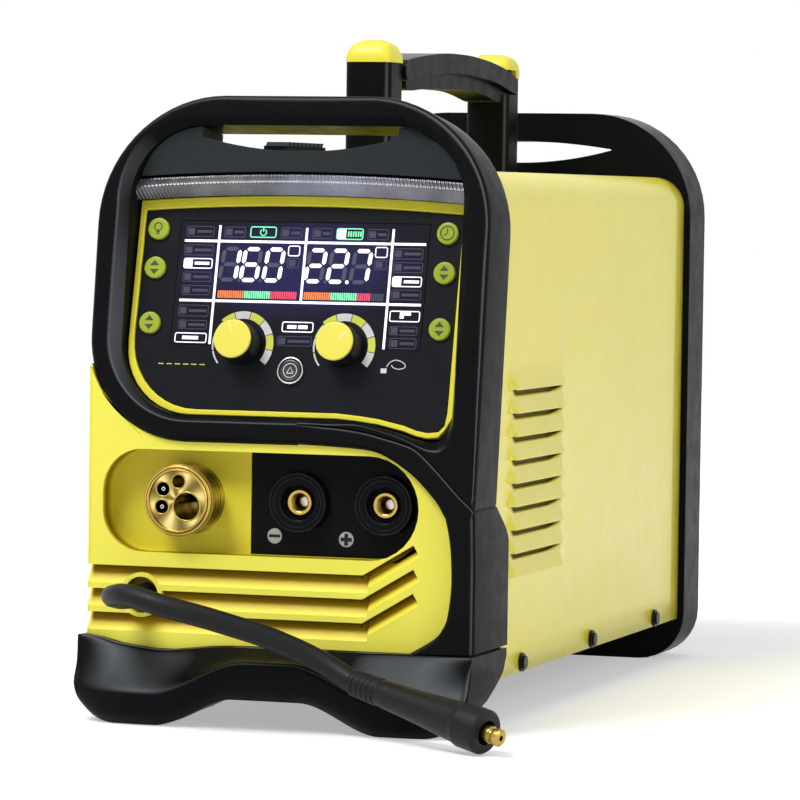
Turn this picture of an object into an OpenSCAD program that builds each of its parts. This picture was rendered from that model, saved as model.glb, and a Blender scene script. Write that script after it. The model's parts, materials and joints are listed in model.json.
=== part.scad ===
// Compact inverter MIG welding machine with its polarity lead.
// Millimetres, +Z up, front faces -Y, origin on the floor under the middle of the machine.

/* [Body] */
// Width over the front and rear frames
width = 216; // [208:1:224]
// Depth from the front foot to the back of the rear frame
depth = 488; // [480:2:504]
// Height of both frames above the floor
frame_h = 328; // [326:1:340]
// Height of the sheet cover's top above the floor
cover_h = 290; // [288:1:293]
// Gap between the floor and the underside of the base pan
base_gap = 25; // [23:1:27]
// Thickness of the sheet steel
sheet_t = 1.5; // [1.2:0.1:2]
// Bend radius along the cover's top edges
cover_r = 18; // [14:1:22]
// How far the frames stand proud of the cover at each side
frame_proud = 4; // [3.5:0.5:5]
// Wall of the moulded plastic parts
wall = 3.5; // [3:0.1:4]

/* [Front frame] */
// How far the foot stands in front of the lower fascia
foot_out = 28; // [24:1:32]
// Width of the ring's band
ring_band = 16; // [14:0.5:17]
// Depth of the ring, measured level
ring_d = 39; // [36:1:41]
// Lean of the ring from upright, in degrees
ring_lean = 7.6; // [6:0.2:8]
// Height at which the ring's lower band starts
ring_low = 147.7; // [147:0.1:149]
// Outer radius of the ring's top corners
ring_r_top = 68; // [62:1:70]
// Outer radius of the ring's lower corner
ring_r_low = 55; // [50:1:58]
// Height of the finger gap in both frames
grip_gap = 13; // [12:0.5:15]
// Half length of the finger gap in both frames
grip_half = 54; // [48:1:56]
// Depth of the lower frame along the sides
low_d = 55; // [53:1:57]

/* [Front fascia] */
// Height of the middle of the socket recess
recess_z = 115.5; // [115:0.1:117]
// Height of the socket recess
recess_h = 54; // [52:0.5:56]
// Depth of the socket recess
recess_d = 14; // [12:0.5:15]
// Left end of the recess, from the middle
recess_left = 98; // [96:0.5:99]
// Right end of the recess, from the middle
recess_right = 76; // [75:0.5:78]
// Height of the top cooling groove's edge
groove_z = 81; // [80:0.5:82]
// Step from one cooling groove to the next
groove_step = 12.4; // [12:0.1:13]
// Depth of each cooling groove
groove_d = 6; // [5:0.5:7]
// Radius of the polarity lead's hole
hole_r = 9.5; // [8:0.5:10]

/* [Sockets] */
// Diameter of the central torch socket's boss
torch_d = 37; // [36:0.5:39]
// Place of the torch socket to the left of the middle
torch_x = 53.5; // [52:0.5:55]
// How far the torch boss stands in front of the fascia
torch_out = 7; // [5:0.5:9]
// Diameter of a current socket's body
socket_d = 31; // [29:0.5:32]
// Bore of a current socket
socket_bore = 9; // [8.5:0.1:9.2]
// Place of the negative socket to the right of the middle
socket_x = 7; // [6:0.5:8]
// Distance between the two current sockets
socket_gap = 47; // [46:0.5:48]

/* [Control panel] */
// Lean of the control panel from upright, in degrees
panel_lean = 13.3; // [12:0.1:14]
// Gap from the ring's band to the control panel's edge
panel_side = 1; // [0.5:0.1:2]
// Radius of a push button
button_r = 5.8; // [5:0.1:6.2]
// Travel of a push button
button_travel = 1; // [0.6:0.1:1.2]
// Button columns, from the control panel's edge
button_in = 11; // [10:0.5:12]
// Radius of a control knob
knob_r = 11; // [10:0.5:12]
// Height of a knob above the panel
knob_h = 14.5; // [12:0.5:18]
// Knobs, from the middle
knob_x = 28; // [27:0.5:29]

/* [Handle] */
// Width of a handle post
post_w = 26; // [24:1:28]
// Height of the handle's top above the floor
handle_h = 361; // [359:1:366]
// Front post, behind the fascia
post_front = 133; // [130:1:138]
// From the rear post's front face to the back of the rear frame
post_back = 104; // [100:1:110]

/* [Side cover] */
// Number of louvres
louvres = 9; // [6:1:9]
// Step from one louvre to the next
louvre_step = 12.3; // [12:0.1:12.8]
// Length of a louvre
louvre_len = 99; // [90:1:102]
// How far a louvre stands out
louvre_out = 3.6; // [3:0.1:3.8]

/* [Rear] */
// Depth of the rear frame
rear_d = 35; // [32:1:38]
// Width of the rear frame's band
rear_band = 13; // [12:0.5:14]
// Side of the cooling fan's square frame
fan_size = 92; // [88:1:94]

/* [Wire feed] */
// Diameter of the wire spool
spool_d = 200; // [190:1:202]
// Width of the wire spool
spool_w = 55; // [50:1:56]
// Diameter of the drive roll
roll_d = 30; // [28:0.5:31]
// Diameter of the pressure roll
idler_d = 22; // [20:0.5:23]

/* [Lead] */
// Diameter of the polarity lead
lead_d = 11.5; // [9:0.5:12]
// Diameter of the plug at its collar
plug_d = 23; // [22:0.5:23.5]

/* [Hidden] */
$fn = 48;

gap = 0.3;                              // clearance between pieces that don't touch
fit = 0.1;                              // radial clearance of a shaft or pin
weld = 0.05;                            // seam between welded pieces
far = 400;                              // longer than any cut needs to be
hw = width / 2;                         // half width over the frames
kx = hw / 108;                          // share of the real width, for curves set by hand
fy = foot_out - depth / 2;              // face of the lower fascia
by = depth / 2;                         // back of the rear frame
rfy = by - rear_d;                      // front of the rear frame
chx = hw - frame_proud;                 // outside of the cover
cix = chx - sheet_t;                    // inside of the cover
low_y = fy - 6;                         // front of the lower frame
low_back = fy + low_d;                  // back of the lower frame
floor_z = base_gap + sheet_t + 0.5;     // inside of the base pan
top_in = cover_h - sheet_t;             // inside of the cover's top

// Smooth curve through hand-chosen points
function spline_at(a, b, c, d, t) =
    0.5 * (2 * b + (c - a) * t + (2 * a - 5 * b + 4 * c - d) * t * t
        + (3 * b - a - 3 * c + d) * t * t * t);
function smooth(p, n) = let (m = len(p) - 1) concat(
    [for (i = [0 : m - 1]) for (k = [0 : n - 1])
        spline_at(p[max(i - 1, 0)], p[i], p[i + 1], p[min(i + 2, m)], k / n)],
    [p[m]]);
function arc(c, r, a0, a1, n) = [for (i = [0 : n]) let (a = a0 + (a1 - a0) * i / n)
    [c[0] + r * cos(a), c[1] + r * sin(a)]];
function step01(t) = let (s = min(1, max(0, t))) s * s * (3 - 2 * s);

// A flat outline in x and z, thickened along +y
module slab(t) { translate([0, t, 0]) rotate([90, 0, 0]) linear_extrude(t) children(); }
// A flat outline in y and z, thickened along +x
module side_slab(t) { rotate([90, 0, 90]) linear_extrude(t) children(); }
// A round bar along x or along y
module bar_x(r, l) { rotate([0, 90, 0]) cylinder(r = r, h = l); }
module bar_y(r, l) { rotate([-90, 0, 0]) cylinder(r = r, h = l); }
// A rectangle about the origin with true round corners
module round_rect(w, h, r) {
    square([w - 2 * r, h], center = true);
    square([w, h - 2 * r], center = true);
    for (x = [-1, 1], z = [-1, 1]) translate([x * (w / 2 - r), z * (h / 2 - r)]) circle(r);
}

// ---------------------------------------------------------------- front ring
ring_z0 = 124;                          // height at which the ring's front plane is placed
ring_y0 = fy - 7;                       // front plane of the ring at that height
ring_t = ring_d * cos(ring_lean);       // thickness of the ring across its plane
grip_low = frame_h - 28;                // lowest point of the finger gap
win_low = 161;                          // lower edge of the ring's window
function up(z) = (z - ring_z0) / cos(ring_lean);
function ring_y(z) = ring_y0 + (z - ring_z0) * tan(ring_lean);

module leaned() { translate([0, ring_y0, ring_z0]) rotate([-ring_lean, 0, 0]) children(); }

// Crest of the swept band, from the ring down to the right rail
crest = smooth([for (p = [[10, 157.4], [45, 155.2], [56, 152.8], [69, 149.4], [76, 146.3], [86, 137.6],
    [99.4, 124.3], [108, 116.5]]) [p[0] * kx, p[1]]], 4);
// Lower edge of the swept band, down to the foot
sweep_in = smooth([for (p = [[10, ring_low], [46, 146], [60.5, 141.6], [75.3, 131.6], [86, 121],
    [93, 107.6], [94.7, 92], [94.7, 75], [91.4, 57], [85, 49], [73, foot_top(73) + gap]])
    [p[0] * kx, p[1]]], 4);

module ring_outline(inset) {
    w = hw - inset;
    rt = ring_r_top - inset;
    rl = ring_r_low - inset;
    polygon(concat(
        arc([w - rt, up(frame_h) - inset - rt], rt, 0, 90, 14),
        arc([rt - w, up(frame_h) - inset - rt], rt, 90, 180, 14),
        arc([rl - w, up(ring_low) + inset + rl], rl, 180, 270, 12),
        [[10 * kx, up(ring_low) + inset], [w, up(ring_low - 38) + inset]]));
}
window_dip = [[38, 0], [50, -2.3], [65, -5.8], [72, -8], [79, -9.6], [84, -9.4], [88, -7]];
module ring_window(grow) {
    w = hw - ring_band + grow;
    top = up(grip_low + grip_gap) + grow;
    polygon(concat(
        arc([w - 40 - grow, top - 40 - grow], 40 + grow, 0, 90, 10),
        arc([40 + grow - w, top - 40 - grow], 40 + grow, 90, 180, 10),
        arc([40 + grow - w, up(win_low) + 40], 40 + grow, 180, 270, 10),
        [for (p = window_dip) [p[0] * kx, up(p[1] + win_low) - grow]],
        [[w, up(win_low - 2) - grow]]));
}
module lower_outline() {
    polygon(concat(crest, [[hw, foot_top(hw) + gap], [73 * kx, foot_top(73) + gap]],
        [for (i = [len(sweep_in) - 2 : -1 : 0]) sweep_in[i]]));
}
module front_ring() {
    color([0.13, 0.14, 0.15]) difference() {
        leaned() difference() {
            slab(ring_t) ring_outline(0);
            translate([0, -1, 0]) slab(ring_t + 2) ring_window(0);
            // hollow back of the moulding
            translate([0, 6, 0]) slab(ring_t) difference() {
                ring_outline(wall);
                ring_window(wall);
            }
        }
        // room for the lower frame's swept band
        translate([0, fy - 30, 0]) slab(120) polygon(concat([for (p = crest) p + [0, gap]],
            [[hw + 5, 100], [10 * kx - gap, 100], [10 * kx - gap, crest[0][1] + gap]]));
    }
}

module lower_frame() {
    color([0.13, 0.14, 0.15]) translate([0, low_y, 0]) difference() {
        slab(low_back - low_y) lower_outline();
        translate([0, 5, 0]) slab(far) offset(delta = -wall) lower_outline();
    }
}

// ---------------------------------------------------------------- front foot
foot_half_flat = 84;                    // where the foot leaves the floor at each end
foot_arch = 15.3;                       // height of the arch between the two pads
function foot_top(x) = 41.5 - 3.5 * exp(-pow((x + 62) / 22, 2)) + 3 * step01((-x - 84) / 22);
function foot_low(x) = let (a = abs(x), t = max(0, a - foot_half_flat), r = 27)
    a < 62 ? foot_arch * (1 - step01((a - 18) / 44))
    : t > 0 ? r - sqrt(max(0, r * r - t * t)) : 0;
function foot_crest(x) = 16 + 17 * (1 - step01((abs(x - 4) - 12) / 52));
function foot_front(x) = foot_out * (1 - 0.45 * pow(max(0, abs(x) - 70) / (hw - 70), 2));
function foot_section(x) = let (b = foot_low(x), t = foot_top(x), c = max(foot_crest(x), b + 6),
        f = foot_front(x)) [
    [x, fy - 6, t], [x, fy - 8, t - 1], [x, fy - 0.7 * f, c + (t - c) * 0.45],
    [x, fy - 0.95 * f, c + 3], [x, fy - f, c],
    [x, fy - 0.93 * f, b + (c - b) * 0.6], [x, fy - 0.8 * f, b + (c - b) * 0.25],
    [x, fy - 0.6 * f, b], [x, fy - 4, b],
    [x, fy + 8, max(b, 8)], [x, fy + 20, max(b + 1, 17)], [x, fy + 33, max(b + 2, 22)],
    [x, fy + 48, max(b + 3, 29)], [x, low_back - 1, t - 4], [x, low_back - 1, t]];
foot_x = concat([-hw, -hw + 2, -hw + 6, -hw + 12, -hw + 18], [for (i = [-7 : 7]) i * 12],
    [hw - 18, hw - 12, hw - 6, hw - 2, hw]);
function loft_faces(n, m) = concat([[for (k = [m - 1 : -1 : 0]) k]],
    [for (i = [0 : n - 2]) for (k = [0 : m - 1]) let (a = i * m + k, b = i * m + (k + 1) % m)
        each [[a, b, b + m], [a, b + m, a + m]]],
    [[for (k = [0 : m - 1]) (n - 1) * m + k]]);
module front_foot() {
    rows = [for (x = foot_x) foot_section(x)];
    color([0.13, 0.14, 0.15])
        polyhedron([for (r = rows) each r], loft_faces(len(rows), len(rows[0])), convexity = 6);
}

// ---------------------------------------------------------------- lower fascia
plate_y = fy + low_d + 3;               // front of the steel front plate
fascia_half = hw - 2;                   // half width of the fascia's left side
recess_split = -20;                     // where the black socket plate starts
recess_floor = fy + recess_d;           // front of the recess floor
lead_x = -76;                           // polarity lead's hole
lead_z = 66;
tub_t = 3;                              // thickness of the recess walls and floor
side_low = 45.8;                        // lower edge of the fascia's side wall
groove_bend = 46;                       // where the cooling grooves turn upwards

module recess_outline(grow) {
    h = recess_h / 2 + grow;
    rl = 22;
    polygon(concat(
        arc([recess_right - recess_h / 2, recess_z], h, -90, 90, 16),
        arc([rl - recess_left, recess_z + recess_h / 2 - rl], rl + grow, 90, 180, 8),
        arc([rl - recess_left, recess_z - recess_h / 2 + rl], rl + grow, 180, 270, 8)));
}
module fascia_outline() {
    polygon(concat(
        [for (i = [0 : 18]) let (x = -fascia_half + i * (72.4 * kx + fascia_half) / 18)
            [x, foot_top(x) + gap]],
        [for (i = [len(sweep_in) - 2 : -1 : 0]) sweep_in[i] + [-gap, sweep_in[i][1] < 60 ? gap : -gap]],
        [[5, ring_low + 1], [-fascia_half + 30, ring_low + 1], [-fascia_half, 185]]));
}
// One cooling groove: deep under its sharp upper edge, running out to the next lip
module groove(z) {
    h = groove_step - 1.6;
    lap = 3;                            // the two cuts run into each other
    translate([-far, fy, z]) side_slab(far + groove_bend + lap)
        polygon([[-1, 0], [groove_d, 0], [-1, -h]]);
    translate([groove_bend, fy, z]) rotate([0, -31, 0]) translate([-lap, 0, 0])
        side_slab(32 + lap) polygon([[-1, 0], [groove_d, 0], [-1, -h * 0.75]]);
}
module fascia_shell() {
    difference() {
        translate([0, fy, 0]) slab(tub_t) fascia_outline();
        translate([0, fy - 1, 0]) slab(far) recess_outline(0);
    }
    // thicker band that the cooling grooves are cut in
    translate([0, fy, 0]) slab(groove_d + 3) intersection() {
        fascia_outline();
        translate([-hw, 0]) square([width, recess_z - recess_h / 2 - 1]);
    }
    // recess tub, floored on the left and open for the socket plate
    translate([0, fy + 1, 0]) slab(recess_d - 1 + tub_t) difference() {
        intersection() {
            recess_outline(tub_t);
            fascia_outline();
        }
        recess_outline(0);
    }
    translate([0, recess_floor, 0]) slab(tub_t) intersection() {
        recess_outline(1);
        translate([-hw, 0]) square([hw + recess_split - gap, far]);
    }
    // left side wall back to the door
    translate([-fascia_half, fy, side_low]) side_slab(tub_t) polygon([[0, 0], [low_d, 0],
        [low_d, 226], [ring_y(side_low + 226) + ring_d - fy + gap, 226],
        [ring_y(ring_low) + ring_d - fy + gap, ring_low - side_low], [0, ring_low - side_low]]);
}
module lower_fascia() {
    color([0.93, 0.89, 0.25]) difference() {
        union() {
            difference() {
                fascia_shell();
                // keep clear of the leaning ring
                leaned() translate([0, -far / 2, 0]) slab(far / 2 + ring_t + gap) intersection() {
                    offset(delta = gap) ring_outline(0);
                    translate([-far, -far]) square([far + 10 * kx, 2 * far]);
                }
                for (k = [0 : 2]) groove(groove_z - k * groove_step);
            }
            translate([lead_x, fy, lead_z]) bar_y(hole_r + 2.2, 14);
        }
        translate([lead_x, fy - 1, lead_z]) bar_y(hole_r, 10);
        translate([lead_x, fy, lead_z]) bar_y(lead_d / 2 - 0.2, 40);
        translate([-torch_x, fy - 1, recess_z + 1]) bar_y(torch_d / 2 - 3, 40);
    }
}

module socket_plate() {
    color([0.08, 0.08, 0.09]) translate([0, recess_floor, 0]) difference() {
        slab(tub_t) intersection() {
            recess_outline(-gap);
            translate([recess_split, 0]) square([far, far]);
        }
        for (k = [0, 1]) translate([socket_x + k * socket_gap, -1, recess_z + 1])
            bar_y(socket_d / 2 + gap, tub_t + 2);
    }
}

// ---------------------------------------------------------------- sockets
socket_y = fy + 9;                      // face of a current socket
insert_r = 7;                           // radius of the brass insert
module socket_bodies() {
    for (k = [0, 1]) translate([socket_x + k * socket_gap, 0, recess_z + 1])
        color([0.07, 0.07, 0.08]) difference() {
            union() {
                translate([0, socket_y, 0]) bar_y(socket_d / 2, plate_y - socket_y);
                translate([0, recess_floor + tub_t + gap, 0]) bar_y(socket_d / 2 + 2, 6);
            }
            translate([0, socket_y - 1, 0]) bar_y(insert_r + 2.5, 7);
            translate([0, socket_y, 0]) bar_y(insert_r, far);
        }
}
module socket_inserts() {
    for (k = [0, 1]) translate([socket_x + k * socket_gap, 0, recess_z + 1])
        color([0.80, 0.62, 0.28]) difference() {
            union() {
                translate([0, socket_y + 4, 0]) bar_y(insert_r, plate_y - socket_y - 4);
                translate([0, plate_y, 0]) bar_y(5, 24);
                // nut that holds the socket to the front plate
                translate([0, plate_y + 2 + gap / 3, 0]) rotate([-90, 0, 0]) cylinder(r = 9, h = 6, $fn = 6);
            }
            translate([0, socket_y + 3, 0]) bar_y(socket_bore / 2, 30);
        }
}
// Openings in the torch socket's face, from its middle: x, z, radius
torch_holes = [[5.1, -2.9, 7.2], [0.5, 10, 3.5], [-8, 5.9, 3.6], [-8.6, -3.4, 3.6]];
module torch_socket() {
    color([0.83, 0.66, 0.30]) translate([-torch_x, 0, recess_z + 1]) difference() {
        union() {
            translate([0, fy - torch_out, 0]) bar_y(torch_d / 2, torch_out + recess_d);
            translate([0, recess_floor, 0]) bar_y(torch_d / 2 - 3.5, plate_y - recess_floor);
            translate([0, plate_y, 0]) bar_y(12, 14);
        }
        // thread grooves
        for (k = [0 : 3]) translate([0, fy - torch_out + 3.5 + 3.4 * k, 0]) difference() {
            bar_y(torch_d, 1.8);
            translate([0, -1, 0]) bar_y(torch_d / 2 - 0.8, 4);
        }
        translate([torch_holes[0][0], fy - far, torch_holes[0][1]]) bar_y(torch_holes[0][2], far + 24);
        for (k = [1 : 3]) translate([torch_holes[k][0], fy - torch_out - 1, torch_holes[k][1]])
            bar_y(torch_holes[k][2], 22);
        translate([0, fy, 0]) bar_y(3, far);
    }
}
module torch_contacts() {
    color([0.1, 0.1, 0.1]) for (k = [2, 3])
        translate([torch_holes[k][0] - torch_x, fy - torch_out + 0.6, torch_holes[k][1] + recess_z + 1])
            difference() {
                bar_y(torch_holes[k][2], 20);
                translate([0, -1, 0]) bar_y(1.3, 12);
            }
}

// ---------------------------------------------------------------- visor and light bar
panel_y0 = fy + 22.6;                   // face of the control panel at panel_z0
panel_z0 = 220;
panel_top = 269.5;                      // upper corners of the control panel
panel_t = 2;
// The panel's top, the light bar and the visor rise by this arch towards the middle
function bow(x) = 3.5 * (1 - pow(x / (hw - ring_band), 2));
function rise(z) = (z - panel_z0) / cos(panel_lean);
function panel_y(z) = panel_y0 + (z - panel_z0) * tan(panel_lean);
module on_panel() { translate([0, panel_y0, panel_z0]) rotate([-panel_lean, 0, 0]) children(); }

visor_low = 284.6;                      // lower corners of the visor
module visor_panel() {
    color([0.12, 0.13, 0.14]) difference() {
        intersection() {
            leaned() translate([0, 8, 0]) slab(ring_t - 8 - gap) difference() {
                offset(delta = -gap) ring_window(0);
                // finger gap, a shallow boat shape
                polygon(concat(
                    [for (i = [0 : 16]) let (x = grip_half * (i / 8 - 1))
                        [x, up(grip_low + 7 * pow(x / grip_half, 2))]],
                    [[grip_half, up(frame_h)], [-grip_half, up(frame_h)]]));
            }
            // slanted face down to the light bar
            visor_face();
        }
        // level lower face, arched over the light bar
        translate([0, fy, 0]) slab(far) polygon(concat(
            [for (i = [-8 : 8]) let (x = hw * i / 8) [x, visor_low + bow(x)]], [[hw, 0], [-hw, 0]]));
    }
}
module visor_face() {
    translate([-far / 2, 0, 0]) side_slab(far) polygon([
        [ring_y(visor_low) + 14, visor_low - 5], [ring_y(299) + 9, 299],
        [ring_y(frame_h) + 4, frame_h], [far, frame_h], [far, visor_low - 5]]);
}

lens_z = 277.8;                         // middle of the light bar's ends
lens_h = 10.8;
lens_y = panel_y(lens_z) - 5;
lens_half = hw - ring_band - gap;
function lens_section(x) = [for (p = [[5, -lens_h / 2], [5, lens_h / 2], [-3, lens_h / 2],
    [-6, 1], [-4, -lens_h / 2]]) [x, lens_y + p[0], lens_z + bow(x) + p[1]]];
module light_lens() {
    color([0.75, 0.77, 0.75, 0.6]) intersection() {
        polyhedron([for (i = [-8 : 8]) each lens_section(lens_half * i / 8)], loft_faces(17, 5));
        leaned() translate([0, -far / 4, 0]) slab(far / 2) offset(delta = -gap) ring_window(0);
    }
}
module light_board() {
    color([0.9, 0.9, 0.88]) {
        translate([-lens_half + 2, lens_y + 6, lens_z - 1.4]) cube([2 * lens_half - 4, 1.6, 7]);
        for (i = [-8 : 8]) translate([i * 10 - 2, lens_y + 5 + gap, lens_z]) cube([4, 0.8, 4]);
    }
}

// ---------------------------------------------------------------- control panel
panel_half = hw - ring_band - panel_side;
button_x = panel_half - button_in;      // button columns, from the middle
screen_half = panel_half - 22;          // display window
panel_low = 160.4;                      // lower edge of the trim
trim_w = 3;
trim_out = 1.5;                         // how far the trim stands in front of the panel
// Low corner on the right: distance from the middle, and drop below the lower edge
panel_dip = [[28, 0], [40, -1], [50.7, -2.3], [65, -5.4], [72, -7.8], [78, -8.8], [84, -8.2], [87, -5]];
module panel_outline(inset) {
    w = panel_half - inset;
    lo = rise(panel_low) + inset;
    polygon(concat(
        [for (i = [8 : -1 : -8]) [w * i / 8, rise(panel_top + bow(w * i / 8)) - inset]],
        arc([38 - w, lo + 38], 38, 180, 270, 10),
        [for (p = panel_dip) [p[0] * kx, lo + p[1]]], [[w, lo + 2]]));
}
knob_z = 197.8;
select_z = 184.6;
button_rows = [257, 236.6, 207.7];
module panel_hole(x, z, r) { translate([x, -10, rise(z)]) bar_y(r, 30); }
module panel_trim() {
    color([0.86, 0.80, 0.12]) difference() {
        on_panel() translate([0, -trim_out, 0]) difference() {
            slab(trim_out + 4) union() {
                panel_outline(0);
                translate([0, 2.4]) intersection() {
                    panel_outline(0);
                    translate([-far, rise(panel_top) - 8]) square(2 * far);
                }
            }
            translate([0, -1, 0]) slab(30) panel_outline(trim_w);
        }
    }
}
module control_panel() {
    color([0.05, 0.05, 0.07]) on_panel() difference() {
        slab(panel_t) panel_outline(trim_w + 0.2);
        for (s = [-1, 1]) panel_hole(s * knob_x, knob_z, 4);
        for (s = [-1, 1], z = button_rows) panel_hole(s * button_x, z, button_r + fit);
        panel_hole(0.6, select_z, button_r + fit);
        translate([1 - screen_half, -1, rise(197)]) cube([2 * screen_half, 1.5, rise(262) - rise(197)]);
    }
}
module display_module() {
    color([0.1, 0.1, 0.3]) on_panel() difference() {
        union() {
            translate([1 - screen_half + gap, 0, rise(197) + gap])
                cube([2 * (screen_half - gap), 0.3, rise(262) - rise(197) - 2 * gap]);
            translate([-screen_half - 1, panel_t, rise(213)])
                cube([2 * screen_half + 2, 5, rise(262) - rise(213)]);
        }
        for (s = [-1, 1]) panel_hole(s * knob_x, knob_z, 4);
    }
}
board_y = 8;                            // gap from the panel's face to the control board
board_half = panel_half - 5;            // half width of the control board
module control_board() {
    color([0.05, 0.35, 0.2]) on_panel() {
        difference() {
            translate([0, board_y, 0]) slab(1.6) polygon([
                [-board_half, rise(264)], [board_half, rise(264)], [board_half, rise(176)],
                [36 - board_half, rise(176)], [-board_half, rise(212)]]);
            for (s = [-1, 1]) panel_hole(s * knob_x, knob_z, 4);
        }
        // push switches under the buttons, and spacers up to the panel
        for (s = [-1, 1], z = button_rows) translate([s * button_x, board_y - 2, rise(z)]) bar_y(2, 2.2);
        translate([0.6, board_y - 2, rise(select_z)]) bar_y(2, 2.2);
        for (p = [[84, 180], [84, 247], [-84, 247], [-66, 194]])
            translate([p[0] * board_half / 86, panel_t, rise(p[1])]) bar_y(2, board_y - panel_t);
    }
}
shaft_r = 3;
module encoders() {
    color([0.6, 0.6, 0.62]) on_panel() for (s = [-1, 1]) translate([s * knob_x, 0, rise(knob_z)])
        difference() {
            union() {
                translate([-6, board_y + 1.6, -6]) cube([12, 7, 12]);
                translate([0, panel_t, 0]) bar_y(3.9, board_y);
            }
            translate([0, panel_t - 1, 0]) bar_y(shaft_r + fit / 2, board_y + 4);
        }
}
module knob(x) {
    on_panel() translate([x, 0, rise(knob_z)]) {
        color([0.08, 0.08, 0.09]) translate([0, -knob_h, 0]) bar_y(knob_r, knob_h - 0.5);
        color([0.95, 0.93, 0.2]) translate([0, -knob_h - 1, 0]) bar_y(knob_r - 0.8, 1.2);
        color([0.7, 0.7, 0.7]) translate([0, -0.6, 0]) bar_y(shaft_r, board_y + 2);
    }
}
module knob_current() { knob(-knob_x); }
module knob_voltage() { knob(knob_x); }
module button(x, z) {
    on_panel() translate([x, 0, rise(z)]) {
        color([0.75, 0.8, 0.25]) translate([0, -2, 0]) bar_y(button_r, 3.5);
        color([0.2, 0.2, 0.2]) translate([0, 1.4, 0]) bar_y(1.5, board_y - 2 - button_travel - fit - 1.4);
    }
}
module button_light() { button(-button_x, button_rows[0]); }
module button_mode() { button(-button_x, button_rows[1]); }
module button_gas() { button(-button_x, button_rows[2]); }
module button_spot() { button(button_x, button_rows[0]); }
module button_wire() { button(button_x, button_rows[1]); }
module button_trigger() { button(button_x, button_rows[2]); }
module button_select() { button(0.6, select_z); }

// ---------------------------------------------------------------- steel case
// Front and rear plates fill the cover's section, a gap away from it
module bulkhead(t) {
    r = cover_r - sheet_t - gap;
    slab(t) {
        translate([-cix + gap, floor_z]) square([2 * (cix - gap), cover_h - cover_r - floor_z]);
        translate([-chx + cover_r, floor_z]) square([2 * (chx - cover_r), top_in - gap - floor_z]);
        for (s = [-1, 1]) translate([s * (chx - cover_r), cover_h - cover_r]) circle(r);
    }
}
rpy = rfy - 2.2;                        // front of the rear panel
module base_pan() {
    color([0.25, 0.25, 0.26]) difference() {
        union() {
            translate([-cix + gap, plate_y, base_gap])
                cube([2 * (cix - gap), rfy - plate_y - gap, floor_z - base_gap]);
            // flange that the cover is screwed to
            translate([cix - gap - sheet_t, plate_y + 2 + gap, base_gap])
                cube([sheet_t, rpy - plate_y - 2 - 2 * gap, 16]);
        }
        for (k = [0 : 2]) translate([cix - 5, screw_y + k * screw_step, screw_z]) bar_x(screw_r + fit, 8);
    }
}
divider_x = -5;
module divider() {
    color([0.55, 0.56, 0.57]) difference() {
        translate([divider_x, plate_y + 2 + fit, floor_z]) cube([sheet_t, rpy - plate_y - 2 - 2 * fit, top_in - floor_z - gap]);
        translate([divider_x - 1, feed_y, motor_z]) bar_x(33, 5);
    }
}
module front_plate() {
    color([0.5, 0.5, 0.52]) difference() {
        translate([0, plate_y, 0]) bulkhead(2);
        for (k = [0, 1]) translate([socket_x + k * socket_gap, plate_y - 1, recess_z + 1]) bar_y(5.2, 4);
        translate([-torch_x, plate_y - 1, recess_z + 1]) bar_y(12.2, 4);
        translate([lead_x, plate_y - 1, lead_z]) bar_y(7, 4);
    }
}
fan_x = (divider_x + sheet_t + cix) / 2 - 1.5;
fan_z = 150;
switch_swing = 16;                      // swing of the rocker, in degrees
switch_x = 55;
switch_z = 245;
gland_x = 20;
gland_z = 60;
inlet_x = -60;
inlet_z = 55;
module rear_panel() {
    color([0.3, 0.3, 0.31]) difference() {
        translate([0, rpy, 0]) bulkhead(2);
        // room for the open door's lower edge
        translate([-cix, rpy - 1, 0]) cube([2, 4, hinge_z + 3]);
        // fan grille: rings of holes
        for (r = [12 : 11 : 34]) for (a = [0 : 360 / (r / 2 + 2) : 359])
            translate([fan_x + r * cos(a), rpy - 1, fan_z + r * sin(a)]) bar_y(4, 4);
        translate([switch_x - 13.5, rpy - 1, switch_z - 11]) cube([27, 4, 22]);
        translate([gland_x, rpy - 1, gland_z]) bar_y(8, 4);
        translate([inlet_x, rpy - 1, inlet_z]) bar_y(5, 4);
        for (z = [110 : 12 : 206]) translate([-85, rpy - 1, z]) cube([50, 4, 5]);
    }
}

louvre_top = 187.5;                     // top of the uppermost louvre
louvre_y = fy + 63;                     // front end of the louvres
screw_z = base_gap + 5;                 // cover screws
screw_y = fy + 94;
screw_step = 137.4;
screw_r = 2;
module cover_section() {
    difference() {
        union() {
            translate([-chx, base_gap]) square([2 * chx, cover_h - base_gap - cover_r]);
            translate([-chx + cover_r, base_gap]) square([2 * (chx - cover_r), cover_h - base_gap]);
            for (s = [-1, 1]) translate([s * (chx - cover_r), cover_h - cover_r]) circle(cover_r);
        }
        translate([-cix, base_gap - 1]) square([2 * cix, top_in - base_gap - cover_r + sheet_t + 1]);
        translate([-chx + cover_r, base_gap - 1]) square([2 * (chx - cover_r), top_in - base_gap + 1]);
        for (s = [-1, 1]) translate([s * (chx - cover_r), cover_h - cover_r]) circle(cover_r - sheet_t);
        translate([-hw, 0]) square([hw, cover_h - cover_r]);
    }
}
post_y = fy + post_front;
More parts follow.
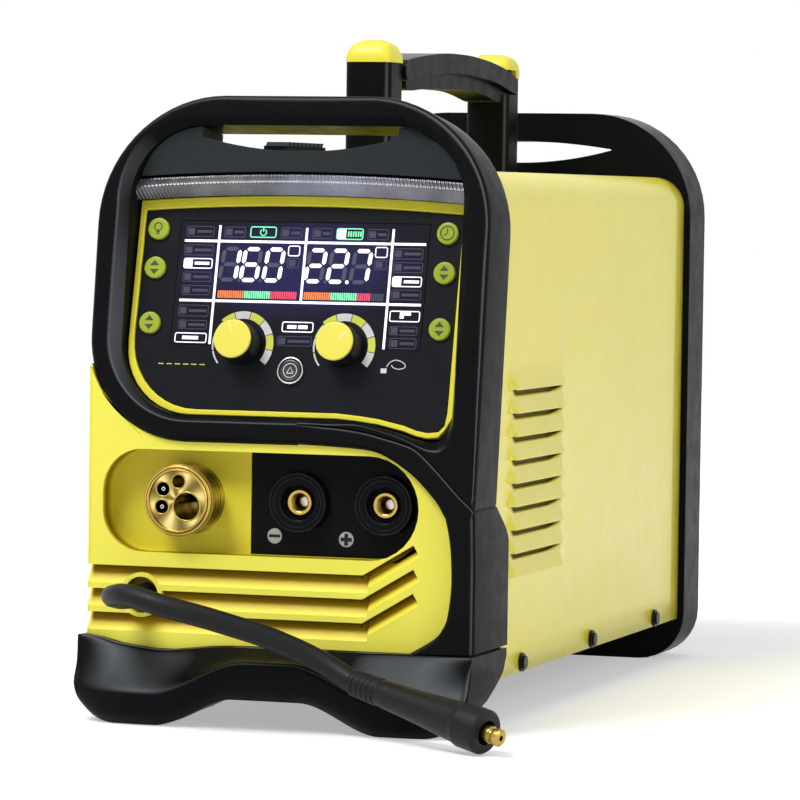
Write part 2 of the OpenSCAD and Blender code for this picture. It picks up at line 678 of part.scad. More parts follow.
module side_cover() {
    color([0.90, 0.87, 0.40]) difference() {
        union() {
            translate([0, fy, 0]) slab(rfy - gap - fy) cover_section();
            for (k = [0 : louvres - 1]) translate([cix, louvre_y, louvre_top - k * louvre_step])
                slab(louvre_len) polygon([[sheet_t, 0], [sheet_t + louvre_out, -louvre_step + 2.5],
                    [sheet_t + louvre_out, -louvre_step + 1.5], [sheet_t - 0.1, -louvre_step + 3.2]]);
        }
        // slots under the louvres' lips
        for (k = [0 : louvres - 2])
            translate([cix - 1, louvre_y + 4, louvre_top - (k + 1) * louvre_step - 1.8])
                cube([sheet_t + 1.2, louvre_len - 8, 3.6]);
        // front edge follows the leaning ring above and the lower frame below
        leaned() translate([-far, -far, -far]) cube([2 * far, far + ring_t + gap, 3 * far]);
        translate([-far, -far, 0]) cube([2 * far, far + low_back + gap, 118]);
        translate([0, fy - 30, 0]) slab(low_back + gap - fy + 30) polygon(concat(
            [for (p = crest) p + [0, gap]], [[hw + 5, 100], [10 * kx, 100]]));
        for (k = [0 : 2]) translate([cix - 2, screw_y + k * screw_step, screw_z])
            bar_x(screw_r + 2 * fit, 5);
        at_post_bolts() translate([0, 0, top_in - 1]) cylinder(r = bolt_r + 2 * fit, h = 4);
        translate([tongue_x - gap, lip_y - 2, cover_h - 12]) cube([4 + 2 * gap, 19, 20]);
    }
}
module case_screws() {
    color([0.1, 0.1, 0.1]) for (k = [0 : 2]) translate([chx, screw_y + k * screw_step, screw_z]) {
        bar_x(5, 1.6);
        translate([1.5, 0, 0]) bar_x(3.6, 1.5);
        translate([-6, 0, 0]) bar_x(screw_r, 7);
    }
    // bolts up into the handle posts, from inside the cover
    color([0.6, 0.6, 0.6]) at_post_bolts() {
        translate([0, 0, top_in - 3]) cylinder(r = 4, h = 3, $fn = 6);
        translate([0, 0, top_in - 0.5]) cylinder(r = bolt_r, h = bolt_len);
    }
}

// ---------------------------------------------------------------- wire door and its latch
hinge_x = -chx + 2.5;
hinge_z = floor_z + 4;
hinge_r = 2.5;
pin_r = 1.2;
door_front = plate_y + 2 + gap;
door_back = rfy - 2 * gap;
hinge_at = [door_front + 50, door_back - 50];
module wire_door() {
    color([0.90, 0.87, 0.40]) difference() {
        union() {
            translate([-chx, door_front, hinge_z]) cube([sheet_t, door_back - door_front, cover_h - cover_r - gap - hinge_z]);
            for (y = hinge_at) translate([hinge_x, y - 30, hinge_z]) bar_y(hinge_r, 20);
            for (y = hinge_at) translate([hinge_x, y + 10, hinge_z]) bar_y(hinge_r, 20);
        }
        for (y = hinge_at) translate([hinge_x, y - 40, hinge_z]) bar_y(pin_r + 0.05, 80);
        for (y = hinge_at) translate([-chx - 1, y - 10 - gap, hinge_z - 5]) cube([8, 20 + 2 * gap, 9]);
    }
    // bracket and lip that the latch holds, welded on
    color([0.90, 0.87, 0.40]) translate([-cix + weld, lip_y, lip_z]) {
        cube([cix + tongue_x + 6 - weld, 8, sheet_t]);
        translate([cix + tongue_x + 4.5 - weld, 0, sheet_t + weld]) cube([sheet_t, 8, 5]);
    }
}
module door_hinge() {
    color([0.2, 0.2, 0.2]) for (y = hinge_at) {
        translate([hinge_x, y - 30, hinge_z]) bar_y(pin_r, 60);
        translate([hinge_x, y - 10, hinge_z]) bar_y(hinge_r, 20);
        translate([hinge_x, y - 10, floor_z]) cube([20, 20, 1.6]);
    }
}
latch_y = fy + 215;
latch_x = cover_r - chx;
latch_h = 12;                           // height of the latch's base above the cover
latch_travel = 10;
slide_y = latch_y + latch_travel + 2;   // front end of the slide, with the door free
slide_z = cover_h + latch_h - 3 + fit;  // underside of the slide
tongue_x = latch_x - 7;                 // the slide's tongue, outboard of the door's lip
lip_y = latch_y + 5.5;                  // the door's lip
lip_z = cover_h - cover_r - 8;          // underside of the plate that carries the lip
module latch_base() {
    color([0.08, 0.08, 0.09]) translate([latch_x - 9, latch_y, cover_h]) difference() {
        cube([18, 140, latch_h]);
        translate([2, -1, latch_h - 3]) cube([14, 94, 4]);
        translate([tongue_x - latch_x + 9 - gap, lip_y - latch_y - 2, -1]) cube([4 + 2 * gap, 19, 20]);
    }
}
module door_latch() {
    color([0.09, 0.09, 0.1]) {
        translate([latch_x - 7 + fit, slide_y, slide_z]) {
            cube([14 - 2 * fit, 68, 5]);
            // diagonal finger ribs
            for (k = [0 : 8]) translate([0, 3 + k * 7, 4.9]) side_slab(14 - 2 * fit)
                polygon([[0, 0], [3.4, 0], [5, 2.4], [2.6, 2.4]]);
        }
        translate([tongue_x, lip_y + 8.5, lip_z + 2.5 + sheet_t])
            cube([4, 8, slide_z - lip_z - 2.4 - sheet_t]);
    }
}

// ---------------------------------------------------------------- rear frame and panel fittings
rear_r_top = 62;
rear_r_low = 28;
module rear_outline(inset) {
    w = hw - inset;
    rt = rear_r_top - inset;
    rl = rear_r_low - inset;
    polygon(concat(
        arc([w - rt, frame_h - inset - rt], rt, 0, 90, 14),
        arc([rt - w, frame_h - inset - rt], rt, 90, 180, 14),
        arc([rl - w, inset + rl], rl, 180, 270, 8),
        arc([w - rl, inset + rl], rl, 270, 360, 8)));
}
module rear_window(grow) {
    translate([0, (base_gap + cover_h) / 2 + 1])
        round_rect(2 * (hw - rear_band) + 2 * grow, cover_h - base_gap - 12 + 2 * grow, 14);
}
module rear_grip(grow) {
    polygon(concat(
        [for (i = [0 : 16]) let (x = (grip_half + 4 + grow) * (i / 8 - 1))
            [x, grip_low - 2 - grow + 8 * pow(x / (grip_half + 4 + grow), 2)]],
        [for (i = [16 : -1 : 0]) let (x = (grip_half + 4 + grow) * (i / 8 - 1))
            [x, grip_low - 2 + grip_gap + grow - 4.5 * pow(x / (grip_half + 4 + grow), 2)]]));
}
module rear_frame() {
    color([0.11, 0.12, 0.13]) translate([0, rfy, 0]) difference() {
        slab(rear_d) rear_outline(0);
        translate([0, -1, 0]) slab(rear_d + 2) rear_window(0);
        translate([0, -1, 0]) slab(rear_d + 2) rear_grip(0);
        // hollow back of the moulding
        translate([0, wall, 0]) slab(rear_d - 2 * wall) difference() {
            rear_outline(wall);
            rear_window(wall);
            rear_grip(wall);
        }
    }
}
fan_d = 25;
fan_y = rpy - fan_d;
module fan_frame() {
    color([0.1, 0.1, 0.1]) translate([fan_x, fan_y, fan_z]) {
        difference() {
            translate([-fan_size / 2, 0, -fan_size / 2]) cube([fan_size, fan_d, fan_size]);
            translate([0, -1, 0]) bar_y(fan_size / 2 - 3, fan_d + 2);
        }
        difference() {
            union() {
                translate([0, fan_d - 4, 0]) bar_y(16, 4);
                for (a = [45, 135]) rotate([0, a, 0]) translate([-fan_size / 2 + 1, fan_d - 4, -3]) cube([fan_size - 2, 3, 6]);
            }
            translate([0, fan_d - 6, 0]) bar_y(1.5 + fit, 8);
        }
    }
}
module fan_rotor() {
    color([0.15, 0.15, 0.16]) translate([fan_x, fan_y, fan_z]) {
        translate([0, 3, 0]) bar_y(17, fan_d - 4 - 3 - 0.5);
        translate([0, fan_d - 5, 0]) bar_y(1.5, 4.5);
        for (a = [0 : 360 / 7 : 359]) rotate([0, a, 0]) translate([16, 12, 0])
            rotate([0, 0, 0]) rotate([32, 0, 0]) translate([0, -1, -11]) cube([25, 2, 22]);
    }
}
module power_switch() {
    color([0.05, 0.05, 0.05]) translate([switch_x, rpy + 2, switch_z]) difference() {
        union() {
            translate([-15.5, 0, -13]) cube([31, 2, 26]);
            translate([-13.3, -25, -10.8]) cube([26.6, 25.1, 21.6]);
        }
        translate([-11, -10, -9]) cube([22, 13, 18]);
        translate([-12.2, 0, 0]) bar_x(1.2 + fit, 24.4);
    }
}
module switch_rocker() {
    color([0.7, 0.1, 0.08]) translate([switch_x, rpy + 2, switch_z]) {
        rotate([switch_swing / 2, 0, 0]) translate([-10.7, 0, 0]) side_slab(21.4)
            polygon([[-5, -5], [0, -8.1], [4, -8.1], [2.6, 0], [4, 8.1], [0, 8.1], [-5, 5]]);
        translate([-12, 0, 0]) bar_x(1.2, 24);
    }
}
module mains_gland() {
    color([0.1, 0.1, 0.1]) translate([gland_x, rpy + 2, gland_z]) difference() {
        union() {
            rotate([-90, 0, 0]) cylinder(r = 12, h = 5, $fn = 6);
            translate([0, 5, 0]) bar_y(9.5, 14);
            translate([0, -12, 0]) bar_y(7.8, 12.1);
            translate([0, -2 - 5 - fit, 0]) rotate([-90, 0, 0]) cylinder(r = 12, h = 5, $fn = 6);
        }
        translate([0, -13, 0]) bar_y(5, 40);
    }
}
module gas_valve() {
    color([0.75, 0.6, 0.3]) {
        translate([inlet_x, rpy - 14, inlet_z]) bar_y(4.8, 18);
        difference() {
            union() {
                translate([inlet_x, rpy + 2, inlet_z]) rotate([-90, 0, 0]) cylinder(r = 8, h = 5, $fn = 6);
                for (k = [0 : 3]) translate([inlet_x, rpy + 7 + 4 * k, inlet_z]) bar_y(k % 2 == 0 ? 4 : 4.7, 4);
            }
            translate([inlet_x, rpy + 6, inlet_z]) bar_y(2, 20);
        }
    }
    color([0.2, 0.2, 0.2]) translate([inlet_x - 12, rpy - 40, floor_z]) cube([24, 26.5, inlet_z - floor_z + 8]);
}

// ---------------------------------------------------------------- handle
cap_h = 12;
post_top = handle_h - cap_h;
bolt_r = 2.4;
bolt_len = 0.42 * (post_top - cover_h); // how far the bolts reach into the posts
boss_r = 5.5;                           // round end of the grip, in the front post's notch
rear_y = by - post_back;                // front face of the rear post
post_gap = rear_y - post_y;
grip_len = post_gap + 17;               // from the front post's face to the grip's rear end
grip_w = 28;
tenon_w = 20;                           // narrowed top of the rear post, inside the grip
tenon_top = post_top + 3;

module at_post_bolts() {
    for (p = [0, 1], x = [-9.5, 9.5]) translate([x, post_y + p * post_gap + post_w / 2, 0]) children();
}
module handle_posts() {
    color([0.10, 0.10, 0.11]) difference() {
        union() {
            translate([0, post_y + post_w / 2, cover_h])
                linear_extrude(post_top - cover_h) round_rect(post_w, post_w, 5);
            translate([0, rear_y + post_w / 2, cover_h])
                linear_extrude(tenon_top - cover_h) round_rect(post_w, post_w, 5);
        }
        translate([-far / 2, post_y + post_w + 2.6, post_top - 4]) bar_x(boss_r + gap, far);
        // rear post: shoulders under the grip, and the back cut to the cap's skirt
        for (s = [-1, 1]) translate([s * (tenon_w / 2 + far / 2), rear_y, post_top - 11.5 + far / 2])
            cube([far, 2 * (grip_len - post_gap + gap), far], center = true);
        translate([-far / 2, post_y + grip_len + gap, post_top - 1.5]) cube([far, far, far]);
        at_post_bolts() translate([0, 0, cover_h - 1]) cylinder(r = bolt_r + fit, h = bolt_len + 5);
    }
}
// Side view of the arched grip: share of its length, and height above the front post's top
grip_top = smooth([for (p = [[0.12, 2], [0.19, 4.1], [0.3, 6.4], [0.43, 8.3], [0.59, 8.5], [0.7, 7.4],
    [0.8, 5.7], [0.9, 3], [0.96, 0.6], [0.99, -2.2], [1, -6]]) grip_at(p)], 3);
grip_under = smooth([for (p = [[1, -6], [0.988, -10.6], [0.94, -9.4], [0.85, -6.3], [0.75, -4], [0.59, -2.4],
    [0.43, -2.9], [0.3, -5.3], [0.2, -7.5], [0.12, -9.5]]) grip_at(p)], 3);
grip_belly = smooth([for (p = [[0.155, -8], [0.165, -12.5], [0.2, -14.2], [0.28, -13], [0.45, -11.7],
    [0.6, -11.3], [0.7, -11.6], [0.79, -13.4], [0.87, -15.8], [0.91, -16], [0.926, -13],
    [0.926, -8]]) grip_at(p)], 3);
function grip_at(p) = [post_y + p[0] * grip_len, post_top + p[1]];
module handle_grip() {
    color([0.16, 0.16, 0.17]) {
        difference() {
            translate([-grip_w / 2, 0, 0]) side_slab(grip_w) polygon(concat(grip_top, grip_under));
            // slot round the rear post's tenon
            translate([-tenon_w / 2 - gap, rear_y - gap, post_top - far / 2]) cube([tenon_w + 2 * gap, far, far]);
        }
        translate([-10, 0, 0]) side_slab(20) polygon(concat(grip_belly,
            [grip_at([0.9, -7]), grip_at([0.8, -4]), grip_at([0.6, -1]), grip_at([0.4, -1]), grip_at([0.2, -6])]));
        translate([-grip_w / 2 - 1, post_y + post_w + 2.6, post_top - 4]) bar_x(boss_r, grip_w + 2);
    }
}
module handle_caps() {
    color([0.93, 0.92, 0.25]) {
        difference() {
            translate([0, post_y + post_w / 2, post_top]) cap_block(cap_h);
            translate([-far / 2, post_y + post_w + 2.6, post_top - 4]) bar_x(boss_r + gap, far);
        }
        translate([0, rear_y + post_w / 2, tenon_top]) cap_block(handle_h - tenon_top);
        // skirt behind the grip's end
        translate([-post_w / 2, post_y + grip_len + 2 * gap, post_top - 1.5])
            cube([post_w, rear_y + post_w - post_y - grip_len - 2 * gap - 2, 5]);
    }
}
module cap_block(h) {
    w = post_w + 1;
    hull() for (z = [[0, 0], [0.35, 0.4], [0.75, 2.6], [1, 7]])
        translate([0, 0, z[0] * h]) linear_extrude(0.01) round_rect(w - 2 * z[1], w - 2 * z[1], 5, $fn = 32);
}

// ---------------------------------------------------------------- wire feed
feed_y = fy + 125;                      // drive roll, behind the torch socket
wire_z = recess_z + 1;
motor_z = wire_z - roll_d / 2;
feed_x = -torch_x;                      // plane of the wire
feed_plate_x = feed_x + 9;
module feed_plate() {
    color([0.2, 0.2, 0.22]) difference() {
        union() {
            translate([feed_plate_x, feed_y - 40, floor_z]) cube([8, 80, wire_z + 25 - floor_z]);
            translate([feed_plate_x + 8, feed_y - 40, floor_z]) cube([divider_x - feed_plate_x - 8, 80, 8]);
            // guides of the wire, towards the torch socket and towards the spool
            translate([feed_x - 6, feed_y - 38, wire_z - 6]) cube([15.1, 14, 12]);
            translate([feed_x - 6, feed_y + 24, wire_z - 6]) cube([15.1, 14, 12]);
        }
        translate([feed_plate_x - 1, feed_y, motor_z]) bar_x(roll_shaft + fit, 10);
        translate([feed_x, feed_y - 45, wire_z]) bar_y(2, 90);
    }
    // pin of the pressure arm
    color([0.6, 0.6, 0.6]) translate([feed_x - 6, arm_y, arm_z]) bar_x(arm_pin, feed_plate_x - feed_x + 6.1);
    color([0.6, 0.6, 0.6]) translate([feed_x - 6, rod_y, rod_z]) bar_x(arm_pin, feed_plate_x - feed_x + 6.1);
}
roll_shaft = 4;
arm_pin = 2.5;
arm_y = feed_y + 22;
arm_z = wire_z + 16;
rod_y = feed_y - 24;
rod_z = wire_z + 12;
idler_z = wire_z + idler_d / 2 + 1;
module feed_motor() {
    color([0.25, 0.25, 0.27]) translate([feed_plate_x + 8, feed_y, motor_z]) {
        difference() {
            bar_x(32, 22);
            translate([-1, 0, 0]) bar_x(roll_shaft + fit, 12);
        }
        translate([22, 0, 0]) bar_x(25, 62);
    }
}
module drive_roll() {
    color([0.7, 0.7, 0.72]) translate([feed_x, feed_y, motor_z]) {
        difference() {
            translate([-5, 0, 0]) bar_x(roll_d / 2, 10);
            rotate([0, 90, 0]) rotate_extrude() translate([roll_d / 2, 0]) circle(r = 0.8, $fn = 4);
        }
        translate([-9, 0, 0]) bar_x(8, 4.1);
        translate([5 - 0.1, 0, 0]) bar_x(roll_shaft, feed_plate_x - feed_x + 8 + 9 - 5);
    }
}
arm_top = arm_z + 14;                   // top of the arm's nose, under the upright knob
module pressure_arm() {
    color([0.15, 0.15, 0.16]) difference() {
        translate([feed_x - 5, 0, 0]) side_slab(feed_plate_x - feed_x + 5 - gap) polygon([
            [arm_y + 6, arm_z - 5], [arm_y + 6, arm_z + 6], [arm_y - 10, arm_top],
            [rod_y + 8, arm_top], [rod_y + 3.4, arm_top - 3], [rod_y + 3.4, arm_z + 6],
            [feed_y - 14, arm_z + 4], [feed_y - 14, idler_z - 3], [feed_y + 14, idler_z - 3]]);
        translate([feed_x - 7, arm_y, arm_z]) bar_x(arm_pin + fit, 30);
        translate([feed_x - 4, feed_y, idler_z]) bar_x(idler_d / 2 + 0.8, 9);
        translate([feed_x - 4, feed_y - 14.5, idler_z - 12]) cube([9, 29, 12]);
    }
    color([0.6, 0.6, 0.6]) translate([feed_x - 5, feed_y, idler_z]) bar_x(2, 12);
}
module pressure_roll() {
    color([0.75, 0.75, 0.77]) translate([feed_x - 3.5, feed_y, idler_z]) difference() {
        bar_x(idler_d / 2, 8);
        translate([-1, 0, 0]) bar_x(2.06, 10);
    }
}
rod_swing = 50;                         // forward lean of the rod with the arm free, in degrees
module tension_rod() {
    color([0.12, 0.12, 0.13]) translate([feed_x, rod_y, rod_z]) rotate([rod_swing, 0, 0]) difference() {
        union() {
            translate([-4, 0, 0]) bar_x(5, 8);
            cylinder(r = 2.4, h = 36);
            translate([0, 0, arm_top - rod_z + 0.6]) cylinder(r = 8, h = 20);
        }
        translate([-8, 0, 0]) bar_x(arm_pin + fit, 16);
    }
}
spool_y = (feed_y + 40 + rpy) / 2;      // half way from the feed plate to the rear panel
spool_z = 158;
hub_r = 25;
spool_x = 14.5 - cix;
module spool_hub() {
    color([0.1, 0.1, 0.1]) translate([0, spool_y, spool_z]) {
        translate([spool_x - 3, 0, 0]) bar_x(hub_r, divider_x - spool_x + 3);
        translate([spool_x + spool_w + 1.5, 0, 0]) bar_x(hub_r + 8, divider_x - spool_x - spool_w - 1.5);
        translate([spool_x - 8, 0, 0]) bar_x(hub_r + 7, 6.5);
    }
}
module wire_spool() {
    translate([spool_x, spool_y, spool_z]) difference() {
        union() {
            color([0.12, 0.12, 0.13]) bar_x(spool_d / 2, 2.5);
            color([0.12, 0.12, 0.13]) translate([spool_w - 2.5, 0, 0]) bar_x(spool_d / 2, 2.5);
            color([0.75, 0.5, 0.3]) translate([2.4, 0, 0]) bar_x(spool_d / 2 - 14, spool_w - 4.8);
        }
        translate([-1, 0, 0]) bar_x(hub_r + fit, spool_w + 2);
    }
}

// ---------------------------------------------------------------- electronics
bay = cix - divider_x - sheet_t;        // width of the electronics bay
module heatsink() {
    w = bay - 22;
    color([0.7, 0.7, 0.72]) translate([divider_x + sheet_t + 11.5, fan_y - 183, floor_z + 50]) {
        cube([w, 130, 6]);
        for (k = [0 : 13]) translate([k * (w - 2) / 13, 0, -28]) cube([2, 130, 28.1]);
        for (x = [0, w - 2], y = [0, 122]) translate([x, y, -50]) cube([2, 8, 50]);
    }
}
module inverter_board() {
    w = bay - 14;
    color([0.05, 0.3, 0.2]) translate([divider_x + sheet_t + 7.5, fan_y - 193, floor_z + 62]) {
        cube([w, 150, 1.6]);
        for (x = [6, w - 8], y = [20, 130]) translate([x, y, -6]) cylinder(r = 3, h = 6.1);
        for (x = [20, 50], y = [25, 60]) translate([x, y, 1.5]) cylinder(r = 13, h = 45);
        translate([w - 28, 20, 1.5]) cube([20, 60, 22]);
    }
}
module transformer() {
    color([0.55, 0.35, 0.2]) translate([48, fy + 160, floor_z]) {
        translate([-30, -25, 0]) cube([60, 50, 4]);
        translate([-22, -22, 3.9]) cube([44, 44, 46]);
        translate([-30, -12, 8]) cube([60, 24, 38]);
    }
}

// ---------------------------------------------------------------- polarity lead
// Middle line of the lead, chosen by hand: out of its hole, round to the left, then down
// across the foot's crest to the plug
lead_route = [[lead_x, fy + 20, lead_z], [lead_x, fy + 12, lead_z], [lead_x, fy + 4, lead_z],
    [-77, fy - 5, 65.3], [-79.9, fy - 16.7, 65.3], [-80, fy - 28.2, 67.2],
    [-75.8, fy - 39.2, 68.5], [-67, fy - 47.8, 70.2], [-55.5, fy - 52.1, 68.8],
    [-44.8, fy - 53.2, 66.3], [-32.4, fy - 51.2, 63.2], [-20.7, fy - 47.6, 60],
    [-8.4, fy - 42.9, 56.1], [3.5, fy - 38.4, 52.2], [16.3, fy - 34.3, 47.2],
    [28.8, fy - 31.7, 41.7], [41.2, fy - 31.4, 35.7], [54, fy - 34.5, 29.4]];
plug_from = lead_route[len(lead_route) - 1];
plug_dir = unit([90.5, -37.6, -20]);
lead_line = smooth(lead_route, 2);
function unit(v) = v / norm(v);
function ring_at(i) = let (p = lead_line, m = len(p) - 1,
        t = i == 0 ? [0, -1, 0] : i == m ? plug_dir : unit(p[i + 1] - p[i - 1]),
        s = unit(cross(t, [0, 0, 1])), u = cross(s, t))
    [for (k = [0 : 9]) let (a = 36 * k) p[i] + lead_d / 2 * (cos(a) * s + sin(a) * u)];
module polarity_lead() {
    color([0.1, 0.1, 0.1]) polyhedron([for (i = [0 : len(lead_line) - 1]) each ring_at(i)],
        loft_faces(len(lead_line), 10), convexity = 8);
}
// Things on the lead's end lie along the plug's own line
module on_plug() {
    a = atan2(plug_dir[1], plug_dir[0]);
    b = acos(plug_dir[2]);
    translate(plug_from) rotate([0, 0, a]) rotate([0, b, 0]) children();
}
module plug_body() {
    color([0.1, 0.1, 0.1]) on_plug() difference() {
        rotate_extrude() polygon([[0, 0], [6.3, 0], [6.9, 5], [7.4, 26], [8.8, 50], [plug_d / 2 - 0.9, 72],
            [plug_d / 2, 75], [plug_d / 2, 88], [plug_d / 2 - 1.2, 89.5], [0, 89.5]]);
        translate([0, 0, 70]) cylinder(r = 4.6, h = 30);
    }
}
module plug_pin() {
    color([0.83, 0.66, 0.30]) on_plug() translate([0, 0, 70]) {
        cylinder(r = 4.5, h = 29);
        translate([4, -1.5, 20]) cube([1.6, 3, 5]);
    }
}

base_pan();
divider();
front_plate();
rear_panel();
side_cover();
case_screws();
wire_door();
door_hinge();
latch_base();
door_latch();
front_ring();
lower_frame();
front_foot();
lower_fascia();
visor_panel();
light_lens();
light_board();
panel_trim();
control_panel();
display_module();
control_board();
encoders();
knob_current();
knob_voltage();
button_light();
button_mode();
button_gas();
button_spot();
button_wire();
button_trigger();
button_select();
socket_plate();
socket_bodies();
socket_inserts();
torch_socket();
torch_contacts();
polarity_lead();
plug_body();
plug_pin();
rear_frame();
fan_frame();
fan_rotor();
power_switch();
switch_rocker();
mains_gland();
gas_valve();
handle_posts();
handle_grip();
handle_caps();
feed_plate();
feed_motor();
drive_roll();
pressure_arm();
pressure_roll();
tension_rod();
spool_hub();
wire_spool();
inverter_board();
heatsink();
transformer();
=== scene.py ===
# %% [markdown]
# # A wire-feed welding machine
# The machine is a sheet steel case between two moulded black frames, with a yellow moulded
# fascia, a lit control panel, three sockets and a short lead that sets the polarity.
# The CAD model is loaded first and stays where it is. Shapes are worked out in millimetres in
# the same frame, so a piece goes straight to the place that the CAD model gives it.

# %% Load the frame
import json
import math
import bmesh
import bpy
import numpy as np
from mathutils import Matrix

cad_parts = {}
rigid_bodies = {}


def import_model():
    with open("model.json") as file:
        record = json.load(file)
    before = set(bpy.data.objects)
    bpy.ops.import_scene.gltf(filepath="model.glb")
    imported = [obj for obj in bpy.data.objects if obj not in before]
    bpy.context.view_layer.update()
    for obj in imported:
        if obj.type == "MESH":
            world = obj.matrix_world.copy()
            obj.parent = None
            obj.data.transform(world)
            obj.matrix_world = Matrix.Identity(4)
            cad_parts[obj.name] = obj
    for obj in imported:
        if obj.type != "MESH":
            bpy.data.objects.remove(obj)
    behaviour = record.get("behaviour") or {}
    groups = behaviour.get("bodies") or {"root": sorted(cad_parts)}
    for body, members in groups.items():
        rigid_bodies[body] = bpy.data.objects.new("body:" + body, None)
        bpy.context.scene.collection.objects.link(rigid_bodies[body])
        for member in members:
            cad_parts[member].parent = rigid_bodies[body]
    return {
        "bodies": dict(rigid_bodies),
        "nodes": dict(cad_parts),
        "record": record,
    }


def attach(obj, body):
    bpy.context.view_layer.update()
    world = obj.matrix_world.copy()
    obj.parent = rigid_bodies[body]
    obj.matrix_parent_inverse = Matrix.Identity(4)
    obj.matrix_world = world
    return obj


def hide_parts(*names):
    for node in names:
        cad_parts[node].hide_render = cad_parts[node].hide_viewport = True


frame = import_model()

MM = 0.001
nodes = frame["nodes"]
body_names = {empty: name for name, empty in frame["bodies"].items()}
carrier = {name: body_names[node.parent] for name, node in nodes.items()}
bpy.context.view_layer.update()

# %% [markdown]
# ## The camera
# A long lens from a little above the middle of the machine keeps the upright edges almost
# parallel, as in a catalogue. The camera looks along an azimuth turned to the machine's right,
# a little downwards, and it is rolled by less than a degree.

# %% The camera
def placed(x, y, z, at):
    """The matrix of an object whose axes point along x, y and z and whose origin is at a point."""
    return Matrix([[*row, c] for row, c in zip(np.stack([x, y, z], 1), at)] + [[0, 0, 0, 1]])


azimuth, tilt, roll = (math.radians(a) for a in (18.07, 2.58, 0.82))
eye = np.array([767.4, -2368.5, 273.9]) * MM
forward = np.array([-math.sin(azimuth) * math.cos(tilt), math.cos(azimuth) * math.cos(tilt),
                    -math.sin(tilt)])
level = np.array([math.cos(azimuth), math.sin(azimuth), 0.0])
above = np.cross(level, forward)
camera = bpy.data.objects.new("Camera", bpy.data.cameras.new("Camera"))
camera.data.sensor_width = 36
camera.data.lens = 199.1
camera.data.clip_end = 50
camera.matrix_world = placed(math.cos(roll) * level + math.sin(roll) * above,
                             -math.sin(roll) * level + math.cos(roll) * above, -forward, eye)
bpy.context.scene.collection.objects.link(camera)
bpy.context.scene.camera = camera
print("camera is", round(float(np.linalg.norm(eye)), 2), "m from the machine's origin")

# %% [markdown]
# ## From formulas to meshes
# Every new surface is a grid of points worked out with numpy: a row of points for each
# station along a path or a profile. Four-sided faces join each row to the next. Coinciding
# points are merged afterwards, so a row whose points all coincide closes a pole.

# %% Grids, caps and pieces
paint = {}  # the finish of each material slot


def grid_faces(rows, columns, around=True, back=False):
    """Faces of a grid: point (i, j) has number i * columns + j. around joins the last column to
    the first, and back joins the last row to the first."""
    i, j = np.meshgrid(np.arange(rows if back else rows - 1),
                       np.arange(columns if around else columns - 1), indexing="ij")
    i2, j2 = (i + 1) % rows, (j + 1) % columns
    return np.stack([i * columns + j, i * columns + j2, i2 * columns + j2, i2 * columns + j],
                    -1).reshape(-1, 4).tolist()


def closed_rows(rows):
    """A shape from rows of points, shaped (rows, columns, 3): faces between the rows, and one
    flat face over the first row and one over the last."""
    count, columns = rows.shape[:2]
    last = (count - 1) * columns
    caps = [list(range(columns))[::-1], [last + j for j in range(columns)]]
    return rows.reshape(-1, 3), grid_faces(count, columns) + caps


def looped_rows(rows):
    """A shape from rows of points whose last row joins its first, like a ring."""
    return rows.reshape(-1, 3), grid_faces(*rows.shape[:2], back=True)


def together(*shapes):
    """Several shapes as one: each later shape's face numbers move up by the points before it."""
    points, faces, start = [], [], 0
    for p, f in shapes:
        points.append(p)
        faces += [[start + k for k in face] for face in f]
        start += len(p)
    return np.concatenate(points), faces


def dress(piece, slot, look=None, body="case", stands_for="", smooth=35):
    """Links a piece, gives it the finish of its slot or a look of its own, and hands it to its
    CAD body. It stands for a CAD node if one is named."""
    bpy.context.scene.collection.objects.link(piece)
    piece.data.materials.append(look or paint[slot])
    piece.data.shade_smooth()
    piece.data.set_sharp_from_angle(angle=math.radians(smooth))
    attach(piece, body)
    if stands_for:
        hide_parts(stands_for)
    return piece


def add_piece(name, shape, slot, **more):
    """A mesh object from a shape in millimetres, merged, with its faces turned outwards."""
    mesh = bpy.data.meshes.new(name)
    mesh.from_pydata((np.asarray(shape[0], float) * MM).tolist(), [], shape[1])
    bm = bmesh.new()
    bm.from_mesh(mesh)
    bmesh.ops.remove_doubles(bm, verts=bm.verts, dist=1e-7)
    bmesh.ops.recalc_face_normals(bm, faces=bm.faces)
    bm.to_mesh(mesh)
    bm.free()
    return dress(bpy.data.objects.new(name, mesh), slot, **more)

# %% [markdown]
# ## Node materials
# A finish is a Principled shader with three layers of noise: wide patches that shift the
# colour a little, medium ones that shift the gloss, and a fine grain that tilts the surface.
# The scales are in waves per metre on Object coordinates, so they keep their real size.

# %% Node helpers
def feed(tree, node, inputs):
    """Links a node's inputs to sockets, or sets them to values."""
    for key, value in inputs.items():
        if isinstance(value, bpy.types.NodeSocket):
            tree.links.new(value, node.inputs[key])
        else:
            node.inputs[key].default_value = value


def wire(tree, kind, inputs=(), **settings):
    """One node with its settings and inputs."""
    node = tree.nodes.new(kind)
    for key, value in settings.items():
        setattr(node, key, value)
    feed(tree, node, dict(inputs))
    return node


def calc(tree, operation, *values, **settings):
    """The result of a maths node."""
    return wire(tree, "ShaderNodeMath", enumerate(values), operation=operation,
                **settings).outputs[0]


def scaled(tree, value, low, high, first=0.0, last=1.0):
    """A value brought from the range low to high into first to last, and held there."""
    return wire(tree, "ShaderNodeMapRange", {"Value": value, "From Min": low, "From Max": high,
                                             "To Min": first, "To Max": last}).outputs["Result"]


def noise(tree, place, scale, detail):
    """Noise of so many waves per metre."""
    return wire(tree, "ShaderNodeTexNoise", {"Vector": place, "Scale": scale,
                                             "Detail": detail}).outputs["Fac"]


def blend(tree, share, plain, other):
    """The plain colour where share is 0 and the other where it is 1."""
    return wire(tree, "ShaderNodeMixRGB", {"Fac": share, "Color1": plain,
                                           "Color2": other}).outputs["Color"]


